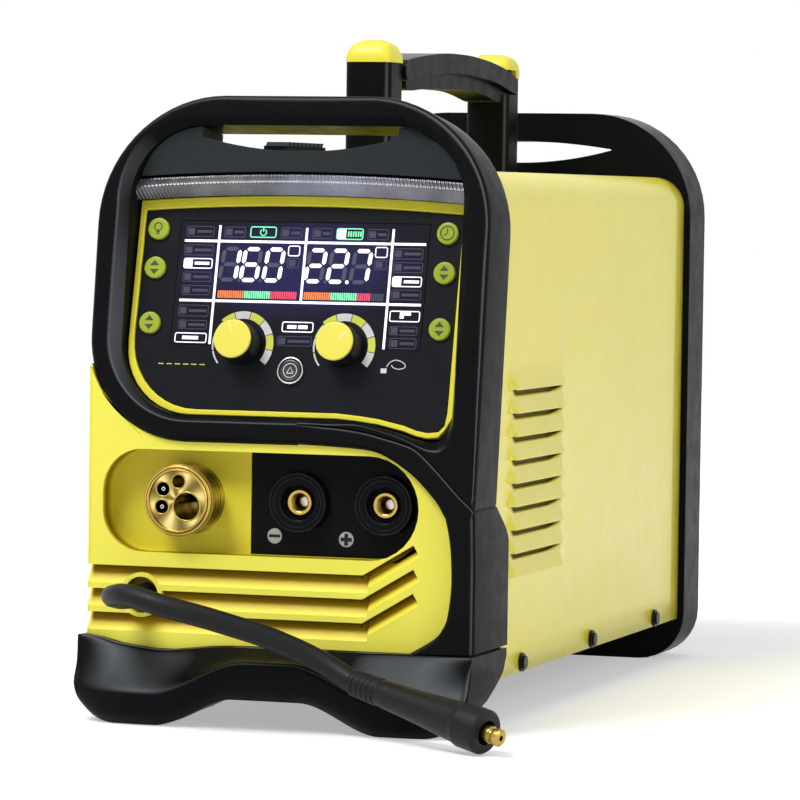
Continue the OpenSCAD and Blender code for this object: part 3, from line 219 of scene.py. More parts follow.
def axes(tree, vector):
    """The three parts of a vector, by the names X, Y and Z."""
    return wire(tree, "ShaderNodeSeparateXYZ", {"Vector": vector}).outputs


def linear(r, g, b):
    """A screen colour, 0 to 255, as the linear light that a shader takes."""
    return tuple(c / 12.92 if c <= 0.04045 else ((c + 0.055) / 1.055) ** 2.4
                 for c in (r / 255, g / 255, b / 255))


def ramp(tree, factor, *stops, to_light=linear):
    """A colour ramp through stops of (position, red, green, blue)."""
    node = wire(tree, "ShaderNodeValToRGB", {"Fac": factor})
    while len(node.color_ramp.elements) < len(stops):
        node.color_ramp.elements.new(0.5)
    for element, (at, *colour) in zip(node.color_ramp.elements, stops):
        element.position = at
        element.color = (*to_light(*colour), 1)
    return node.outputs["Color"]


def varied(tree, factor, colour, low, high):
    """A linear colour that drifts with the factor between two stops of (position, strength)."""
    return ramp(tree, factor, *[(at, *[min(1, c * share) for c in colour]) for at, share in
                                (low, high)], to_light=lambda *rgb: rgb)


def inner(material):
    """The node tree of a finish, its shader and its Object coordinates."""
    tree = material.node_tree
    return tree, tree.nodes["Principled BSDF"], tree.nodes["Texture Coordinate"].outputs["Object"]


# %% Finish builder
def finish(name, colour, rough, grain=900, relief=20, metal=0.0, shift=0.06, gloss=0.06,
           coat=0.0, coat_rough=0.2, specular=0.5, stretch=(1, 1, 1), patches=14.0):
    """A material whose screen colour drifts by shift and roughness by gloss, with a grain of the
    given waves per metre and relief in micrometres, stretched along an axis for brushed metal."""
    material = bpy.data.materials.new(name)
    material.use_nodes = True
    wire(material.node_tree, "ShaderNodeTexCoord")
    tree, shader, place = inner(material)
    tint = varied(tree, noise(tree, place, patches, 4.0), linear(*colour), (0.3, 1 - shift),
                  (0.7, 1 + shift))
    sheen = scaled(tree, noise(tree, place, patches * 6, 3.0), 0.3, 0.7, max(0.02, rough - gloss),
                   rough + gloss)
    turned_place = wire(tree, "ShaderNodeMapping", {"Vector": place, "Scale": stretch})
    fine = noise(tree, turned_place.outputs["Vector"], grain, 2.0)
    bump = wire(tree, "ShaderNodeBump", {"Height": fine, "Distance": relief * 1e-6,
                                         "Strength": 1.0}).outputs["Normal"]
    feed(tree, shader, {"Base Color": tint, "Roughness": sheen, "Normal": bump,
                        "Metallic": metal, "Specular IOR Level": specular,
                        "Coat Weight": coat, "Coat Roughness": coat_rough})
    return material

# %% [markdown]
# ## The case's finishes
# The steel sheet is powder coated: a bright yellow with a slight orange peel. The moulded
# yellow is softer and a touch more matt. The black mouldings carry a fine spark-eroded grain,
# which breaks up the reflections but keeps a satin sheen.

# %% Case finishes
YELLOW, BRASS = (242, 231, 58), (178, 150, 76)
paint.update({
    "yellow_sheet": finish("powder_coat_yellow", (238, 226, 62), 0.36, grain=420, relief=40,
                           coat=0.25, shift=0.02),
    "yellow_plastic": finish("moulded_yellow", YELLOW, 0.42, grain=1500, relief=15, shift=0.02),
    "black_sheet": finish("powder_coat_black", (22, 23, 25), 0.45, grain=700, relief=40,
                          specular=0.2),
    "bare_sheet": finish("zinc_sheet", (160, 163, 166), 0.38, metal=0.9, grain=300, patches=60.0,
                         shift=0.15),
    "black_plastic": finish("moulded_black", (17, 18, 20), 0.36, grain=1700, relief=30,
                            shift=0.05, specular=0.035),
    "rubber": finish("lead_rubber", (18, 19, 20), 0.46, grain=1200, specular=0.2),
})
# Colours of the painted rim light and of the painted highlight on rounded edges, and where the rim
# starts.
PAINTED_RIM_LIGHT, PAINTED_SHEEN, PAINTED_RIM_START = linear(110, 109, 109), linear(104, 108, 112), 0.86


def paint_rim_and_sheen(material):
    """The same finish with a painted pale rim light where a face turns away from the eye, and a
    painted highlight on rounded edges that lean from the front (a normal whose y is near -0.78)
    towards the top or the right."""
    tree, shader = inner(material)[:2]
    plain = shader.inputs["Base Color"].links[0].from_socket
    normal = axes(tree, tree.nodes["Texture Coordinate"].outputs["Normal"])
    away = calc(tree, "ABSOLUTE", calc(tree, "ADD", normal["Y"], 0.78))
    painted_sheen_share = calc(tree, "MULTIPLY", scaled(tree, away, 0.0, 0.16, 1.0, 0.0),
                   calc(tree, "ADD", normal["Z"], normal["X"]), use_clamp=True)
    facing_away = wire(tree, "ShaderNodeLayerWeight", {"Blend": 0.5}).outputs["Facing"]
    feed(tree, shader, {"Base Color": blend(
        tree, scaled(tree, facing_away, PAINTED_RIM_START, 1.0),
        blend(tree, painted_sheen_share, plain, (*PAINTED_SHEEN, 1)), (*PAINTED_RIM_LIGHT, 1))})


# The black mouldings get painted highlights on their rounded edges and a painted pale rim.
paint_rim_and_sheen(paint["black_plastic"])
print("case finishes:", sorted(paint))

# %% [markdown]
# ## Metal and small plastic finishes
# Turned brass, steel, aluminium, copper and the small mouldings differ mostly in colour and
# gloss. Metal has a long fine grain, which is the lathe's or the rolling mill's mark.

# %% Metal and small finishes
paint.update({
    "brass": finish("turned_brass", BRASS, 0.27, metal=1.0, stretch=(1, 6, 1), relief=10,
                    shift=0.1),
    "steel": finish("bright_steel", (190, 190, 188), 0.28, metal=1.0, grain=700,
                    stretch=(1, 1, 5), relief=10),
    "aluminium": finish("drawn_aluminium", (200, 202, 205), 0.34, metal=1.0, grain=500,
                        stretch=(1, 0.1, 1)),
    "copper": finish("bare_copper", (205, 120, 80), 0.3, metal=1.0, stretch=(1, 1, 6), relief=10),
    "red_plastic": finish("red_insulator", (175, 40, 35), 0.4, grain=1300),
    "spool_plastic": finish("spool_plastic", (30, 31, 33), 0.5, grain=1300),
    "circuit_board": finish("solder_mask_green", (22, 92, 58), 0.35, grain=300, patches=260.0,
                            shift=0.3, coat=0.3),
    "panel_black": finish("panel_black", (13, 15, 20), 0.4, relief=10, specular=0.12),
    "button_plastic": finish("button_green", (166, 182, 58), 0.34, grain=1500, specular=0.2),
    "knob_plastic": finish("knob_black", (16, 16, 18), 0.42, grain=1500, specular=0.22),
    "light_lens": finish("lens_clear", (205, 210, 202), 0.12, grain=500, coat=0.5,
                         coat_rough=0.05),
    "led_board": finish("white_board", (232, 233, 228), 0.4, grain=600),
})


def glass_pane():
    """Dark glass with a violet glow behind the digits, strongest at y = -188, z = 238 mm: a soft
    ball whose half axes are 1/14, 1/18 and 1/34 m."""
    material = finish("display_pane", (15, 15, 26), 0.2, grain=300, relief=1, specular=0.16)
    tree, shader, place = inner(material)
    centred = wire(tree, "ShaderNodeMapping", {
        "Vector": place, "Location": (0, 0.188 * 18, -0.238 * 34), "Scale": (14, 18, 34)})
    ball = wire(tree, "ShaderNodeTexGradient", {"Vector": centred.outputs["Vector"]},
                gradient_type="SPHERICAL").outputs["Fac"]
    amount = calc(tree, "MULTIPLY", ball, noise(tree, place, 45.0, 2.0))
    violet = ramp(tree, amount, (0.0, 8, 9, 16), (0.3, 48, 42, 104))
    feed(tree, shader, {"Emission Color": violet, "Emission Strength": 0.55})
    return material


paint["display"] = glass_pane()
print("all finishes for the CAD model's slots:", len(paint))

# %% [markdown]
# ## The polarity lead
# A short length of heavy welding lead comes out of its hole in the fascia, bends forwards and
# falls across the front to its plug. It is thick and limp, so it keeps wide bends. The route
# is a smooth curve through given points, and a ring of points is carried along it.

# %% Curves and tubes
def unit(v):
    """A vector, or each row of an array of vectors, divided by its length."""
    return v / np.linalg.norm(v, axis=-1, keepdims=True)


def smooth_line(points, steps):
    """Catmull-Rom curve: between b and c, with a before and d after, it is half of
    2 b + (c - a) t + (2 a - 5 b + 4 c - d) t^2 + (3 b - a - 3 c + d) t^3. End points repeat."""
    p = np.asarray(points, float)
    padded = np.concatenate([p[:1], p, p[-1:]])
    a, b, c, d = (padded[k:len(p) - 1 + k][:, None] for k in range(4))
    t = (np.arange(steps) / steps)[None, :, None]
    curve = 0.5 * (2 * b + (c - a) * t + (2 * a - 5 * b + 4 * c - d) * t ** 2
                   + (3 * b - a - 3 * c + d) * t ** 3)
    return np.concatenate([curve.reshape(-1, p.shape[1]), p[-1:]])


def circle(sides):
    """Cosines and sines of equal steps round a full turn, as rows."""
    turn = np.arange(sides) * 2 * np.pi / sides
    return np.stack([np.cos(turn), np.sin(turn)], -1)


def quarter(x, y, r, start, steps=18):
    """A quarter circle about (x, y), from start degrees on."""
    s = np.radians(np.linspace(start, start + 90, steps))
    return np.column_stack([x + r * np.cos(s), y + r * np.sin(s)])


def tube(line, radius):
    """A tube along a line that never runs straight up. A ring's point at angle a is
    line + radius (cos a s + sin a u), where s is level and square to the line and u to both."""
    along = unit(np.gradient(line, axis=0))
    s = unit(np.cross(along, [0, 0, 1]))
    u = np.cross(s, along)
    ring = circle(24)
    return closed_rows(line[:, None] + radius * (ring[None, :, :1] * s[:, None]
                                                 + ring[None, :, 1:] * u[:, None]))

# %% The lead
FACE = -216.0
lead_route = np.array([
    [-76, 20, 66], [-76, 12, 66], [-76, 4, 66], [-77, -5, 65.3], [-79.9, -16.7, 65.3],
    [-80, -28.2, 67.2], [-75.8, -39.2, 68.5], [-67, -47.8, 70.2], [-55.5, -52.1, 68.8],
    [-44.8, -53.2, 66.3], [-32.4, -51.2, 63.2], [-20.7, -47.6, 60], [-8.4, -42.9, 56.1],
    [3.5, -38.4, 52.2], [16.3, -34.3, 47.2], [28.8, -31.7, 41.7], [41.2, -31.4, 35.7],
    [54, -34.5, 29.4]]) + [0, FACE, 0]
lead_line = smooth_line(lead_route, 6)
lead = add_piece("polarity_lead_tube", tube(lead_line, 5.75), "rubber",
                 stands_for="polarity_lead")
print("lead is", round(float(np.linalg.norm(np.diff(lead_line, axis=0), axis=1).sum())), "mm long")

# %% [markdown]
# ## Turned pieces
# Plugs, knobs, sockets and rollers are turned shapes: a profile of radius and height carried
# round an axis. They are worked out about the z axis and then aimed where they belong.

# %% Turned shapes
def turned_rows(profile, sides):
    """Rows of a surface of revolution: the point of profile row (r, h) at angle a is
    (r cos a, r sin a, h). A radius of 0 closes an end."""
    r, h = np.asarray(profile, float).T
    return np.concatenate([r[:, None, None] * circle(sides)[None],
                           np.broadcast_to(h[:, None, None], (len(r), sides, 1))], -1)


def aimed(shape, origin, direction):
    """Turns a shape so that its z axis points along direction, its x axis staying level, and
    moves it to origin: each point is origin + x X + y Y + z Z."""
    z = unit(np.asarray(direction, float))
    x = unit(np.cross([0, 0, 1.0], z))
    return shape[0] @ np.stack([x, np.cross(z, x), z]) + np.array(origin), shape[1]


def rounded(profile, radius):
    """A profile whose inner corners become arcs: each corner is cut back by radius along both
    sides, and a quadratic curve (1-t)^2 a + 2t(1-t) corner + t^2 b joins the cuts."""
    p = np.asarray(profile, float)
    into, out = p[1:-1] - p[:-2], p[2:] - p[1:-1]
    cut = np.minimum(radius, 0.45 * np.minimum(np.linalg.norm(into, axis=1),
                                               np.linalg.norm(out, axis=1)))[:, None]
    a, b = p[1:-1] - unit(into) * cut, p[1:-1] + unit(out) * cut
    t = np.linspace(0, 1, 5)[None, :, None]
    arcs = (1 - t) ** 2 * a[:, None] + 2 * t * (1 - t) * p[1:-1, None] + t ** 2 * b[:, None]
    return np.concatenate([p[:1], arcs.reshape(-1, 2), p[-1:]])


def turned(profile, radius, sides=64):
    """A solid of revolution whose profile has rounded corners."""
    return closed_rows(turned_rows(rounded(profile, radius), sides))

# %% [markdown]
# ## The plug
# The plug is a rubber sleeve that grips the lead with a few rings, widens towards its flange
# and holds a brass pin. The pin has a groove near its tip, where the socket's spring holds it.

# %% The plug and its pin
PLUG_LENGTH, FLANGE_RADIUS = 99, 11.5
plug_from, plug_along = lead_route[-1], unit(np.array([90.5, -37.6, -20.0]))
sleeve = [[0, 0], [6.3, 0]]
for k in range(5):
    sleeve += [[6.9 + 0.1 * k, 1 + 3.6 * k], [6.9 + 0.1 * k, 3 + 3.6 * k],
               [6.2 + 0.12 * k, 3.4 + 3.6 * k], [6.2 + 0.12 * k, 4.2 + 3.6 * k]]
sleeve += [[7.2, 22], [7.4, 26], [8.0, 38], [8.8, 50], [9.8, 62], [10.5, 71.5],
           [FLANGE_RADIUS, 75], [FLANGE_RADIUS, 88], [10.3, 89.5], [6.2, 89.5], [6.2, 84],
           [4.4, 84], [0, 84]]
plug = add_piece("plug_sleeve", aimed(turned(sleeve, 0.6), plug_from, plug_along),
                 "rubber", stands_for="plug_body")
pin = [[0, 80], [4.4, 80], [4.4, 89], [4.5, 89], [4.5, 93], [3.6, 93], [3.6, 95.5],
       [4.5, 95.5], [4.5, 98.2], [3.2, PLUG_LENGTH], [1.4, PLUG_LENGTH], [1.4, 94], [0, 94]]
plug_contact = add_piece("plug_contact", aimed(turned(pin, 0.35), plug_from, plug_along),
                         "brass", stands_for="plug_pin")
plug_low = plug_from[2] + PLUG_LENGTH * plug_along[2] - FLANGE_RADIUS
print("plug reaches z =", round(float(plug_low), 1), "mm at least")

# %% [markdown]
# ## Floor and light
# The world is white to the camera, to mirrors and to glass, and a dimmer grey to every other
# ray. The floor is pale paint that glows only for those same rays, a little near the machine,
# where its shadow falls, and fully further away, so its edge melts into the white. One large
# soft lamp stands high on the left in front, a weaker one fills the right side, and a strip
# above draws highlights on the upper edges.

# %% Floor, world and lamps
def shown_rays(tree):
    """1 for the rays of the camera, of mirrors and of glass, and 0 for all others."""
    rays = wire(tree, "ShaderNodeLightPath").outputs
    return calc(tree, "MAXIMUM", calc(tree, "MAXIMUM", rays["Is Camera Ray"],
                                      rays["Is Glossy Ray"]), rays["Is Transmission Ray"])


bpy.context.scene.view_settings.view_transform = "Standard"
world = bpy.data.worlds.new("studio")
bpy.context.scene.world = world
world.use_nodes = True
sky, white_sky = (wire(world.node_tree, "ShaderNodeBackground", {
    "Color": (1, 1, 1, 1), "Strength": strength}).outputs[0] for strength in (0.22, 1.0))
mixed = wire(world.node_tree, "ShaderNodeMixShader", {
    "Fac": shown_rays(world.node_tree), 1: sky, 2: white_sky}).outputs[0]
feed(world.node_tree, world.node_tree.nodes["World Output"], {"Surface": mixed})

floor_mesh = bpy.data.meshes.new("floor")
floor_mesh.from_pydata([(-4, -4, 0), (4, -4, 0), (4, 4, 0), (-4, 4, 0)], [], [(0, 1, 2, 3)])
floor = bpy.data.objects.new("floor", floor_mesh)
bpy.context.scene.collection.objects.link(floor)
floor_paint = bpy.data.materials.new("pale_floor")
floor_paint.use_nodes = True
tree = floor_paint.node_tree
place = wire(tree, "ShaderNodeTexCoord").outputs["Object"]
away = wire(tree, "ShaderNodeVectorMath", {0: place}, operation="LENGTH").outputs["Value"]
glow_up = calc(tree, "MULTIPLY", shown_rays(tree), scaled(tree, away, 0.35, 1.3, 0.4, 1.0))
feed(tree, tree.nodes["Principled BSDF"], {
    "Base Color": (0.85, 0.85, 0.85, 1), "Roughness": 0.9, "Emission Color": (1, 1, 1, 1),
    "Emission Strength": glow_up})
floor_mesh.materials.append(floor_paint)


def lamp(name, place, target, width, height, watts):
    """A soft rectangular lamp at place that faces target."""
    light = bpy.data.lights.new(name, "AREA")
    light.shape = "RECTANGLE"
    light.size, light.size_y, light.energy = width, height, watts
    holder = bpy.data.objects.new(name, light)
    z = unit(np.array(place, float) - np.array(target, float))
    x = unit(np.cross([0, 0, 1.0], z))
    holder.matrix_world = placed(x, np.cross(z, x), z, place)
    bpy.context.scene.collection.objects.link(holder)


lamp("key", (-1.0, -1.9, 2.9), (0, -0.1, 0.15), 1.5, 1.1, 88)
lamp("fill", (2.6, -1.0, 1.2), (0.1, 0, 0.15), 1.4, 1.6, 24)
lamp("top", (0.3, 0.2, 2.2), (0, 0, 0.3), 1.4, 1.0, 6)

# %% [markdown]
# ## Finishes on the CAD pieces
# A CAD piece whose shape is right stays as it is and only gets its finish. Sheet metal and
# mouldings need softened edges too, because a real edge always catches a thin line of light.
# Such a piece is a merged copy whose flat faces are joined and whose edges are rounded over.

# %% Finish every CAD piece
plain_slot = {row["node"]: row["material_slot"] for row in frame["record"]["subparts"]}
for name, node in nodes.items():
    for holder in node.material_slots:
        holder.material = paint["knob_plastic" if name == "case_screws" else plain_slot[name]]
print(len(nodes), "CAD pieces finished")


def softened(name, width, look=None, angle=25):
    """A copy of a CAD piece with every edge sharper than angle rounded over by width in mm."""
    mesh = bpy.data.meshes.new(name + "_soft")
    bm = bmesh.new()
    bm.from_mesh(nodes[name].data)
    bmesh.ops.remove_doubles(bm, verts=bm.verts, dist=2e-6)
    bmesh.ops.dissolve_degenerate(bm, edges=bm.edges, dist=2e-6)
    bmesh.ops.dissolve_limit(bm, angle_limit=math.radians(0.05), verts=bm.verts, edges=bm.edges)
    bm.to_mesh(mesh)
    bm.free()
    for left_over in ("custom_normal", "sharp_edge", "sharp_face"):
        if left_over in mesh.attributes:
            mesh.attributes.remove(mesh.attributes[left_over])
    piece = dress(bpy.data.objects.new(name + "_soft", mesh), plain_slot[name], look=look,
                  body=carrier[name], stands_for=name, smooth=angle)
    edge = piece.modifiers.new("rounded edges", "BEVEL")
    edge.width, edge.segments, edge.angle_limit = width * MM, 2, math.radians(angle)
    edge.limit_method = "ANGLE"
    edge.harden_normals = True
    edge.miter_outer = "MITER_ARC"
    even = piece.modifiers.new("even faces", "WEIGHTED_NORMAL")
    even.keep_sharp, even.weight = True, 90

# %% The fascia's finish with painted shade
def depth_shade_painted(name, colour, *stops):
    """A moulded finish with painted shade: its colour also depends on the depth y in metres,
    through stops of (depth, red, green, blue), so that grooves and recesses are painted darker,
    as the shade in them. The left wall, left of x = -105 mm, keeps the last stop's colour."""
    material = finish(name, colour, 0.42, grain=1500, relief=15, shift=0.02, specular=0.16)
    tree, shader, place = inner(material)
    apart = axes(tree, place)
    front, back = stops[0][0], stops[-1][0]
    tint = ramp(tree, scaled(tree, apart["Y"], front, back),
                *[((at - front) / (back - front), *c) for at, *c in stops])
    tint = blend(tree, scaled(tree, apart["X"], -0.1052, -0.1040),
                 (*linear(*stops[-1][1:]), 1), tint)
    shade = scaled(tree, noise(tree, place, 14.0, 4.0), 0.0, 1.0, 0.96, 1.04)
    mix = wire(tree, "ShaderNodeVectorMath", {0: tint, "Scale": shade}, operation="SCALE")
    feed(tree, shader, {"Base Color": mix.outputs["Vector"]})
    return material


# The fascia's yellow, with painted shade in its grooves and recess that changes with depth.
fascia_painted_shade = depth_shade_painted(
    "fascia_painted_shade", YELLOW, (-0.2165, 255, 250, 104), (-0.2150, 246, 232, 70),
    (-0.2132, 190, 158, 28), (-0.2102, 122, 98, 14), (-0.2070, 176, 160, 26),
    (-0.2030, 232, 218, 62), (-0.1990, 244, 233, 74))
TORCH_X, TORCH_Y, SOCKET_Z = -53.5, -223.0, 116.5


def brass_painted_highlights():
    """Turned brass with painted highlights round the torch socket's axis, where a faced end's
    turning marks would catch the light: the angle about the axis goes through a sine of six
    periods, bent by a little noise."""
    material = finish("brass_painted_highlights", BRASS, 0.3, metal=1.0, relief=10)
    tree, shader, place = inner(material)
    apart = axes(tree, place)
    angle = calc(tree, "ARCTAN2", calc(tree, "SUBTRACT", apart["Z"], SOCKET_Z * MM),
                 calc(tree, "ADD", apart["X"], -TORCH_X * MM))
    turn = calc(tree, "MULTIPLY_ADD", angle, 6.0, noise(tree, place, 60.0, 2.0))
    # Painted highlights: darker and brighter brass alternate round the axis.
    painted_highlight_tone = ramp(tree, scaled(tree, calc(tree, "SINE", turn), -1.0, 1.0),
                (0.0, 104, 92, 48), (0.6, 168, 148, 82), (1.0, 216, 200, 132))
    feed(tree, shader, {"Base Color": painted_highlight_tone})
    return material


own_look = {"lower_fascia": fascia_painted_shade, "torch_socket": brass_painted_highlights(),
            "visor_panel": finish("visor_grey", (42, 47, 49), 0.4, grain=1500, relief=30,
                                  specular=0.1)}
print("finishes of their own:", sorted(own_look))

# %% Soften the sheet and moulded pieces
edge_widths = {"lower_fascia": 1.0, "rear_frame": 1.4, "visor_panel": 0.7, "panel_trim": 0.5,
               "control_panel": 0.3, "handle_posts": 0.6, "socket_plate": 0.4, "wire_door": 0.3,
               "latch_base": 0.5, "torch_socket": 0.35, "socket_bodies": 0.4, "handle_grip": 1.0}
for name, width in edge_widths.items():
    softened(name, width, own_look.get(name))
    print(name, "softened by", width, "mm")
softened("handle_caps", 0.5, angle=62)
print("caps shaded as domes")

# %% [markdown]
# ## The lit display
# The display is a printed glass pane with light segments behind it. Every line, digit and bar
# is a thin plate on the pane, so that it stays sharp from any distance. All of them are laid
# out on the panel's own plane: x to the right, a rise up the slope, and a height out of it.

# %% Flat shapes on the leaning panel
LEAN = math.radians(13.3)
PANEL_Y, PANEL_Z = -193.4, 220.0
PRINT_LOW, PRINT_HIGH = 0.02, 0.16


def rise(z):
    """The distance up the panel's slope of a point at height z: (z - 220) / cos lean."""
    return (np.asarray(z, float) - PANEL_Z) / math.cos(LEAN)


def panel_y(z):
    """The depth of the panel's face at height z."""
    return PANEL_Y + (z - PANEL_Z) * math.tan(LEAN)


def panel_piece(name, shape, slot, x=0.0, z=PANEL_Z, **more):
    """A piece from a shape (x, rise, out) on the panel, with its origin at x and z."""
    out = (0, -math.cos(LEAN), math.sin(LEAN))
    add_piece(name, aimed(shape, (x, panel_y(z), z), out), slot, **more)


def plate(outline, low, high):
    """A flat plate: the outline (x, rise) at height low and again at height high."""
    o = np.asarray(outline, float)
    return closed_rows(np.stack([np.column_stack([o, np.full(len(o), h)]) for h in (low, high)]))


def band(outer, inner, low, high):
    """A flat closed ring between two outlines with equally many points: each station has the
    four corners outer low, outer high, inner high and inner low."""
    return looped_rows(np.stack([np.column_stack([o, np.full(len(o), h)]) for o, h in
                                 ((outer, low), (outer, high), (inner, high), (inner, low))], 1))


def round_box(x0, z0, x1, z1, r):
    """A rectangle (x, rise) between two corners, with quarter circles of radius r."""
    left, right, low, high = x0 + r, x1 - r, rise(z0) + r, rise(z1) - r
    return np.concatenate([quarter(x, y, r, start, 4) for x, y, start in (
        (right, high, 0), (left, high, 90), (left, low, 180), (right, low, 270))])


def framed(x0, z0, x1, z1, width=0.55, r=1.2, high=PRINT_HIGH):
    """A thin rounded frame, width wide, on the pane."""
    return band(round_box(x0, z0, x1, z1, r), round_box(
        x0 + width, z0 + width, x1 - width, z1 - width, max(0.2, r - width)), PRINT_LOW, high)


def bars(rows, high=PRINT_HIGH):
    """Many upright rectangles in one: each row is x0, z0, x1, z1."""
    return together(*[plate([(a, rise(b)), (c, rise(b)), (c, rise(d)), (a, rise(d))], PRINT_LOW,
                            high) for a, b, c, d in rows])


def stroke(line, width, low=PRINT_LOW, high=PRINT_HIGH):
    """A flat stroke along a line (x, rise): the line moved by half the width along its left
    normal, and back along its right one."""
    p = np.asarray(line, float)
    n = unit(np.gradient(p, axis=0))[:, ::-1] * [-1, 1] * width / 2
    return plate(np.concatenate([p + n, (p - n)[::-1]]), low, high)


def arc_line(x, y, r, start, stop, steps=16):
    """Points on a circle from the angle start to stop, in degrees clockwise from the top."""
    a = np.radians(np.linspace(start, stop, steps))
    return np.column_stack([x + r * np.sin(a), y + r * np.cos(a)])

# %% [markdown]
# A glowing plate has a base colour close to its light, so that it still reads right where a
# viewer shows no emission. A little noise keeps the light from being perfectly even.

# %% Glow materials
def glow(name, colour, strength):
    """A finish that also emits its colour, a few percent uneven from place to place."""
    material = finish(name, colour, 0.4, grain=600, relief=2, shift=0.05)
    tree, shader, place = inner(material)
    light = varied(tree, noise(tree, place, 160.0, 2.0), linear(*colour), (0.35, 0.9), (0.65, 1))
    feed(tree, shader, {"Emission Color": light, "Emission Strength": strength})
    return material


lit_white, lit_mint, lit_orange, lit_pink, unlit, dim_line = (glow(*row) for row in (
    ("lit_white", (236, 236, 250), 0.75), ("lit_mint", (120, 235, 170), 0.6),
    ("lit_orange", (240, 120, 50), 0.6), ("lit_pink", (232, 60, 96), 0.6),
    ("unlit_segment", (58, 60, 82), 0.04), ("dim_line", (48, 46, 70), 0.08)))
print("glow materials made")


def lit_piece(name, look, *shapes):
    """A piece of the display from flat shapes."""
    panel_piece(name, together(*shapes), "display", look=look)

# %% Lines, frames and symbols of the display
HALF = 0.65
white_lines = bars([(-65.1, z - HALF, 68.4, z + HALF) for z in (251.3, 220.1)]
                   + [(x - HALF, low, x + HALF, high) for x, low, high in
                      ((-45.9, 197.5, 259.6), (2.5, 221, 258.9), (50.1, 197, 259))])
lit_boxes = [framed(*b) for b in (
    (-64.6, 236.7, -48.4, 242.2), (51.6, 229.2, 67.8, 234.7), (-65.7, 197.9, -47.8, 203.2),
    (-6.6, 204.6, 10.8, 210.1), (51.8, 211.2, 68.4, 217), (-7, 244, -0.3, 249.6),
    (41, 244, 47.9, 249.7))]
lit_marks = bars([
    (-64.2, 237.2, -59.6, 241.7), (-58.4, 238.8, -50.2, 240.3), (52.1, 229.7, 56.6, 234.2),
    (58, 231.2, 66.2, 232.7), (-61.5, 199.7, -52.5, 201.5), (-3.6, 206.4, 1.4, 208.3),
    (2.4, 206.4, 7.6, 208.3), (57.4, 213, 59.6, 216.4), (59.6, 214.6, 63.4, 216.2),
    (19.4, 253.6, 24.2, 258.6)])
lit_piece("display_lines", lit_white, white_lines, *lit_boxes, lit_marks)
lit_piece("display_green", lit_mint, framed(-28.9, 253.4, -14.3, 259.3),
          framed(18.9, 253.1, 33.7, 259.1),
          stroke(arc_line(-21.6, rise(256.3), 1.7, 35, 325), 0.5),
          bars([(-21.9, 256.6, -21.3, 258.7)]
               + [(25.2 + 1.35 * k, 254.7, 26 + 1.35 * k, 257.5) for k in range(6)]))
dim_boxes = [
    (-65, 243.6, -48.5, 249.3), (-64.4, 229.8, -48.5, 235.1), (-64.2, 222.8, -48.4, 228),
    (51, 243.5, 67.3, 249.2), (51.5, 236.5, 67.7, 242), (51.6, 222.5, 67.9, 227.8),
    (-65.1, 211.7, -48.1, 217.7), (-64.6, 205, -48.3, 209.8), (-8.6, 197.3, 10.6, 202.6),
    (52.3, 204.4, 67.5, 209), (52.8, 197.3, 67.6, 203), (-64.5, 253.4, -49, 259),
    (-43.5, 253.4, -31.5, 259), (-12, 253.4, 0, 259), (5.6, 253.3, 16.6, 259),
    (36, 253.2, 47.6, 258.9), (-7, 237.8, -0.3, 243), (41, 237.8, 47.9, 243)]
dim_marks = bars([(a + 0.9, (b + d) / 2 - 1.7, a + 4.6, (b + d) / 2 + 1.7)
                  for a, b, c, d in dim_boxes]
                 + [(a + 5.8, (b + d) / 2 - 0.7, c - 1.2, (b + d) / 2 + 0.7)
                    for a, b, c, d in dim_boxes if c - a > 8], 0.08)
lit_piece("display_dim", dim_line, dim_marks, *[framed(*b, 0.4, 1.0, 0.1) for b in dim_boxes])
print("display symbols made")

# %% Digits and bar graphs
SEGMENTS = {"1": "bc", "6": "acdefg", "0": "abcdef", "2": "abged", "7": "abc"}
DIGIT_Z, DOT_Z, LIT_HIGH, BAR_STEP = 239.3, 231.1, 0.18, 1.22


def segment(which, x, w=4.3, h=8.3, t=2.2):
    """One of seven segments of a slanted digit, a hexagon: flat for a, g and d, upright for the
    others. A point's x moves right by a tenth of its height above the digit's middle."""
    if which in "agd":
        y = {"a": h, "g": 0.0, "d": -h}[which]
        a, b, n = np.array([(-w + 0.7, y), (w - 0.7, y), (t / 2, -t / 2)])
    else:
        x0 = w if which in "bc" else -w
        y0, y1 = (0.5, h - 0.5) if which in "bf" else (-h + 0.5, -0.5)
        a, b, n = np.array([(x0, y0), (x0, y1), (-t / 2, t / 2)])
    p = np.array([a, a + t / 2, b - n, b, b - t / 2, a + n])
    return plate(np.column_stack([x + p[:, 0] + 0.1 * p[:, 1], rise(DIGIT_Z) + p[:, 1]]),
                 PRINT_LOW, LIT_HIGH)


def dot(x, r, high):
    """A decimal point."""
    return plate(arc_line(x, rise(DOT_Z), r, 0, 345, 12)[::-1], PRINT_LOW, high)


def graph(start, count):
    """Bars of a bar graph, 0.85 mm wide."""
    return [(start + BAR_STEP * k, 221.7, start + BAR_STEP * k + 0.85, 225.5)
            for k in range(count)]


digits = list(zip("160227", (-38.6, -26.9, -14.3, 8.9, 21.2, 33.9)))
lit_piece("digits_lit", lit_white, *[segment(s, x) for d, x in digits for s in SEGMENTS[d]],
          dot(26.9, 1.0, LIT_HIGH))
lit_piece("digits_unlit", unlit,
          *[segment(s, x) for d, x in digits for s in "abcdefg" if s not in SEGMENTS[d]],
          *[dot(x, 0.9, 0.1) for x in (-21.2, -32.7, 15)], bars(graph(40.6, 6), 0.1))
lit_bars = 0
for name, light, rows in (("bars_orange", lit_orange, graph(-43.9, 12) + graph(3.9, 12)),
                          ("bars_mint", lit_mint, graph(-29.2, 12) + graph(18.6, 12)),
                          ("bars_pink", lit_pink, graph(-14.5, 12) + graph(33.3, 6))):
    lit_piece(name, light, bars(rows))
    lit_bars += len(rows)
print(len(digits), "digits and", lit_bars, "lit bars made")

